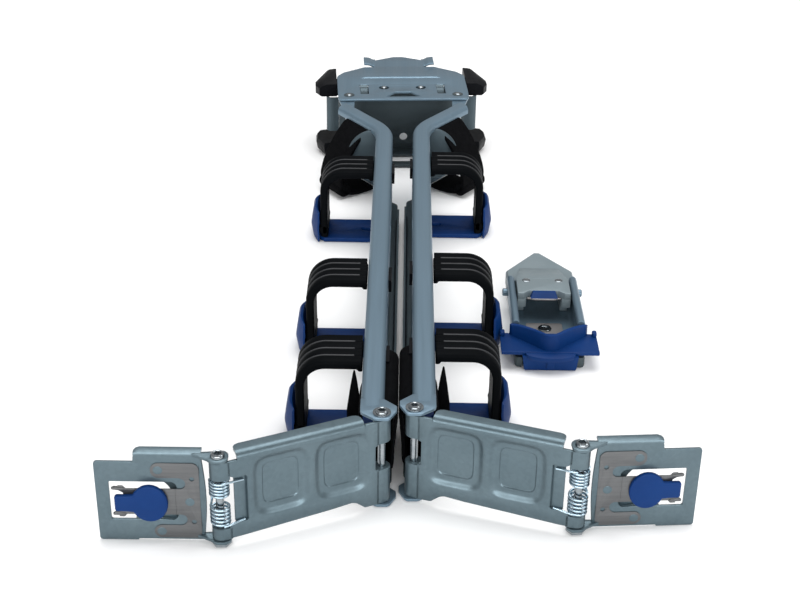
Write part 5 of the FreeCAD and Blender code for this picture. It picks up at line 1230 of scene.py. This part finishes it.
def makeClipEnd():
    # wing shelf with end lugs, bowed wall, and a skirt under it
    k = clipShape
    span, far, foot, t = k["span"] / 2, k["wingFar"], k["wingFoot"], k["wing"]
    top = foot + t
    pieces = [level(block(-span, k["wingNear"], span, far, 0.6), [], t, 0.3, foot)]
    for side in sideNames:
        lug = level(block(span - 2.2, far - 3.4, span, far, 0.8), [], 2.2, 0.5, top - 0.1)
        pieces.append(moved(lug, pose=Matrix.Scale(-1, 4, (1, 0, 0))) if side < 0 else lug)
    bowPath = [*onSide(k["bowHalf"][::-1], -1), (0, k["bowNear"]), *k["bowHalf"]]
    high = top + k["bowHeight"]
    bow = sweep(smoothPath(bowPath, 3), [(-0.1, top - 0.1), (0.3, high - 0.4), (0.7, high), (1.5, high),
                                         (1.9, high - 0.4), (1.9, top - 0.1)])
    for vert in bow.verts:
        # the wall is low at its ends and tall in the middle
        rise = max(0.0, 1.0 - (abs(vert.co.x) / 17.0) ** 2.2)
        if vert.co.z > top:
            vert.co.z = top + (vert.co.z - top) * (0.7 + 0.3 * rise)
    skirt = bmesh.new()
    half, back = k["skirtHalf"], k["skirtFar"]
    rings = [[skirt.verts.new((x, y, z)) for x, y in
              ((-half + pull, near), (half - pull, near), (half - pull, back), (-half + pull, back))]
             for z, pull, near in k["skirtRings"]]
    pieces += [bow, bevelled(skin(skirt, rings, 1), 0.4, 3, 30)]
    # a crescent shelf under the wing's middle, and a small rib down the skirt
    wide, along, bulge = k["crescent"]
    turns = [math.radians(angle) for angle in range(-84, 85, 8)]
    arc = [(wide * math.sin(turn), along - bulge * math.cos(turn)) for turn in turns]
    pieces.append(level(arc + [(wide, 4.0), (-wide, 4.0)], [], 2.4, 0.5, k["crescentFoot"]))
    pieces.append(level(block(-1.7, -1.3, 1.7, 1.0, 0.3), [], 4.4, 0.2, 1.9))
    finishPiece("clipEnd", together(*pieces), clipFrame, "blueMoulding", "clip", ["clip_end"], crease=40)
    # the channel's low ends beside the skirt, in the dark zinc as painted shade
    edge = k["width"] / 2
    end = rounded([(12.8, 2.6), (15.4, 2.6, 1.4), (edge, 4.2, 1.0), (edge, far), (12.8, far)])
    ends = [level(onSide(end, side), [], 5.6, 0.9, 0.02) for side in sideNames]
    finishPiece("clipChannelEnds", together(*ends), clipFrame, "zincShade", "clip")


makeClipChannel()
makeClipNose()
makeClipSmallParts()
makeClipEnd()
for node in ("strap_anchors_left", "strap_anchors_right"):
    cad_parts[node].data.materials.clear()
    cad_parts[node].data.materials.append(paint["blackMoulding"])
print("loose bracket made")


# stage

def makeStage():
    floorShape = bmesh.new()
    bmesh.ops.create_grid(floorShape, x_segments=1, y_segments=1, size=3.0)
    mesh = bpy.data.meshes.new("studioFloor")
    floorShape.to_mesh(mesh)
    floorShape.free()
    floor = bpy.data.objects.new("studioFloor", mesh)
    floor.location.z = -0.0002
    bpy.context.scene.collection.objects.link(floor)
    pale = bpy.data.materials.new("paleFloor")
    pale.use_nodes = True
    shader = pale.node_tree.nodes["Principled BSDF"]
    shader.inputs["Base Color"].default_value = (0.93, 0.93, 0.93, 1)
    shader.inputs["Roughness"].default_value = 0.9
    shader.inputs["Specular IOR Level"].default_value = 0.1
    mesh.materials.append(pale)
    world = bpy.data.worlds.new("studio")
    bpy.context.scene.world = world
    world.use_nodes = True
    world.node_tree.nodes["Background"].inputs["Color"].default_value = (1.0, 1.0, 1.0, 1)
    world.node_tree.nodes["Background"].inputs["Strength"].default_value = 0.42
    lamps = {
        "overhead": {"place": (0.0, 0.2, 1.3), "aim": (0, 0.0, 0), "size": 1.1, "watts": 15.0},
        "front": {"place": (0.0, -1.5, 0.60), "aim": (0, -0.2, 0.02), "size": 2.3, "tall": 0.55, "watts": 24.0},
        "sideFill": {"place": (1.2, -0.2, 0.9), "aim": (0, 0, 0.02), "size": 0.6, "watts": 4.0},
    }
    for name, lamp in lamps.items():
        light = bpy.data.lights.new(name, "AREA")
        light.energy = lamp["watts"]
        light.shape = "RECTANGLE"
        light.size, light.size_y = lamp["size"], lamp.get("tall", lamp["size"])
        holder = bpy.data.objects.new(name, light)
        holder.location = lamp["place"]
        aim = Vector(lamp["aim"]) - Vector(lamp["place"])
        holder.rotation_euler = aim.to_track_quat("-Z", "Y").to_euler()
        bpy.context.scene.collection.objects.link(holder)
    bpy.context.scene.view_settings.view_transform = "Standard"


def makeCamera():
    view = {"place": (-0.000643, -0.684963, 0.364233), "pitch": 28.670435, "turn": -0.0707, "roll": 0.81277,
            "lens": 67.856}
    pitch, turn, roll = (math.radians(view[key]) for key in ("pitch", "turn", "roll"))
    ahead = Vector((math.sin(turn) * math.cos(pitch), math.cos(turn) * math.cos(pitch), -math.sin(pitch)))
    right = Vector((math.cos(turn), -math.sin(turn), 0))
    up = right.cross(ahead)
    rolledRight = right * math.cos(roll) + up * math.sin(roll)
    rolledUp = up * math.cos(roll) - right * math.sin(roll)
    camera = bpy.data.cameras.new("photoView")
    camera.lens = view["lens"]
    camera.sensor_width = 36.0
    camera.sensor_fit = "HORIZONTAL"
    camera.clip_start = 0.01
    holder = bpy.data.objects.new("photoView", camera)
    turned = Matrix((rolledRight, rolledUp, -ahead)).transposed().to_4x4()
    holder.matrix_world = Matrix.Translation(view["place"]) @ turned
    bpy.context.scene.collection.objects.link(holder)
    bpy.context.scene.camera = holder


makeStage()
makeCamera()
print("scene ready")
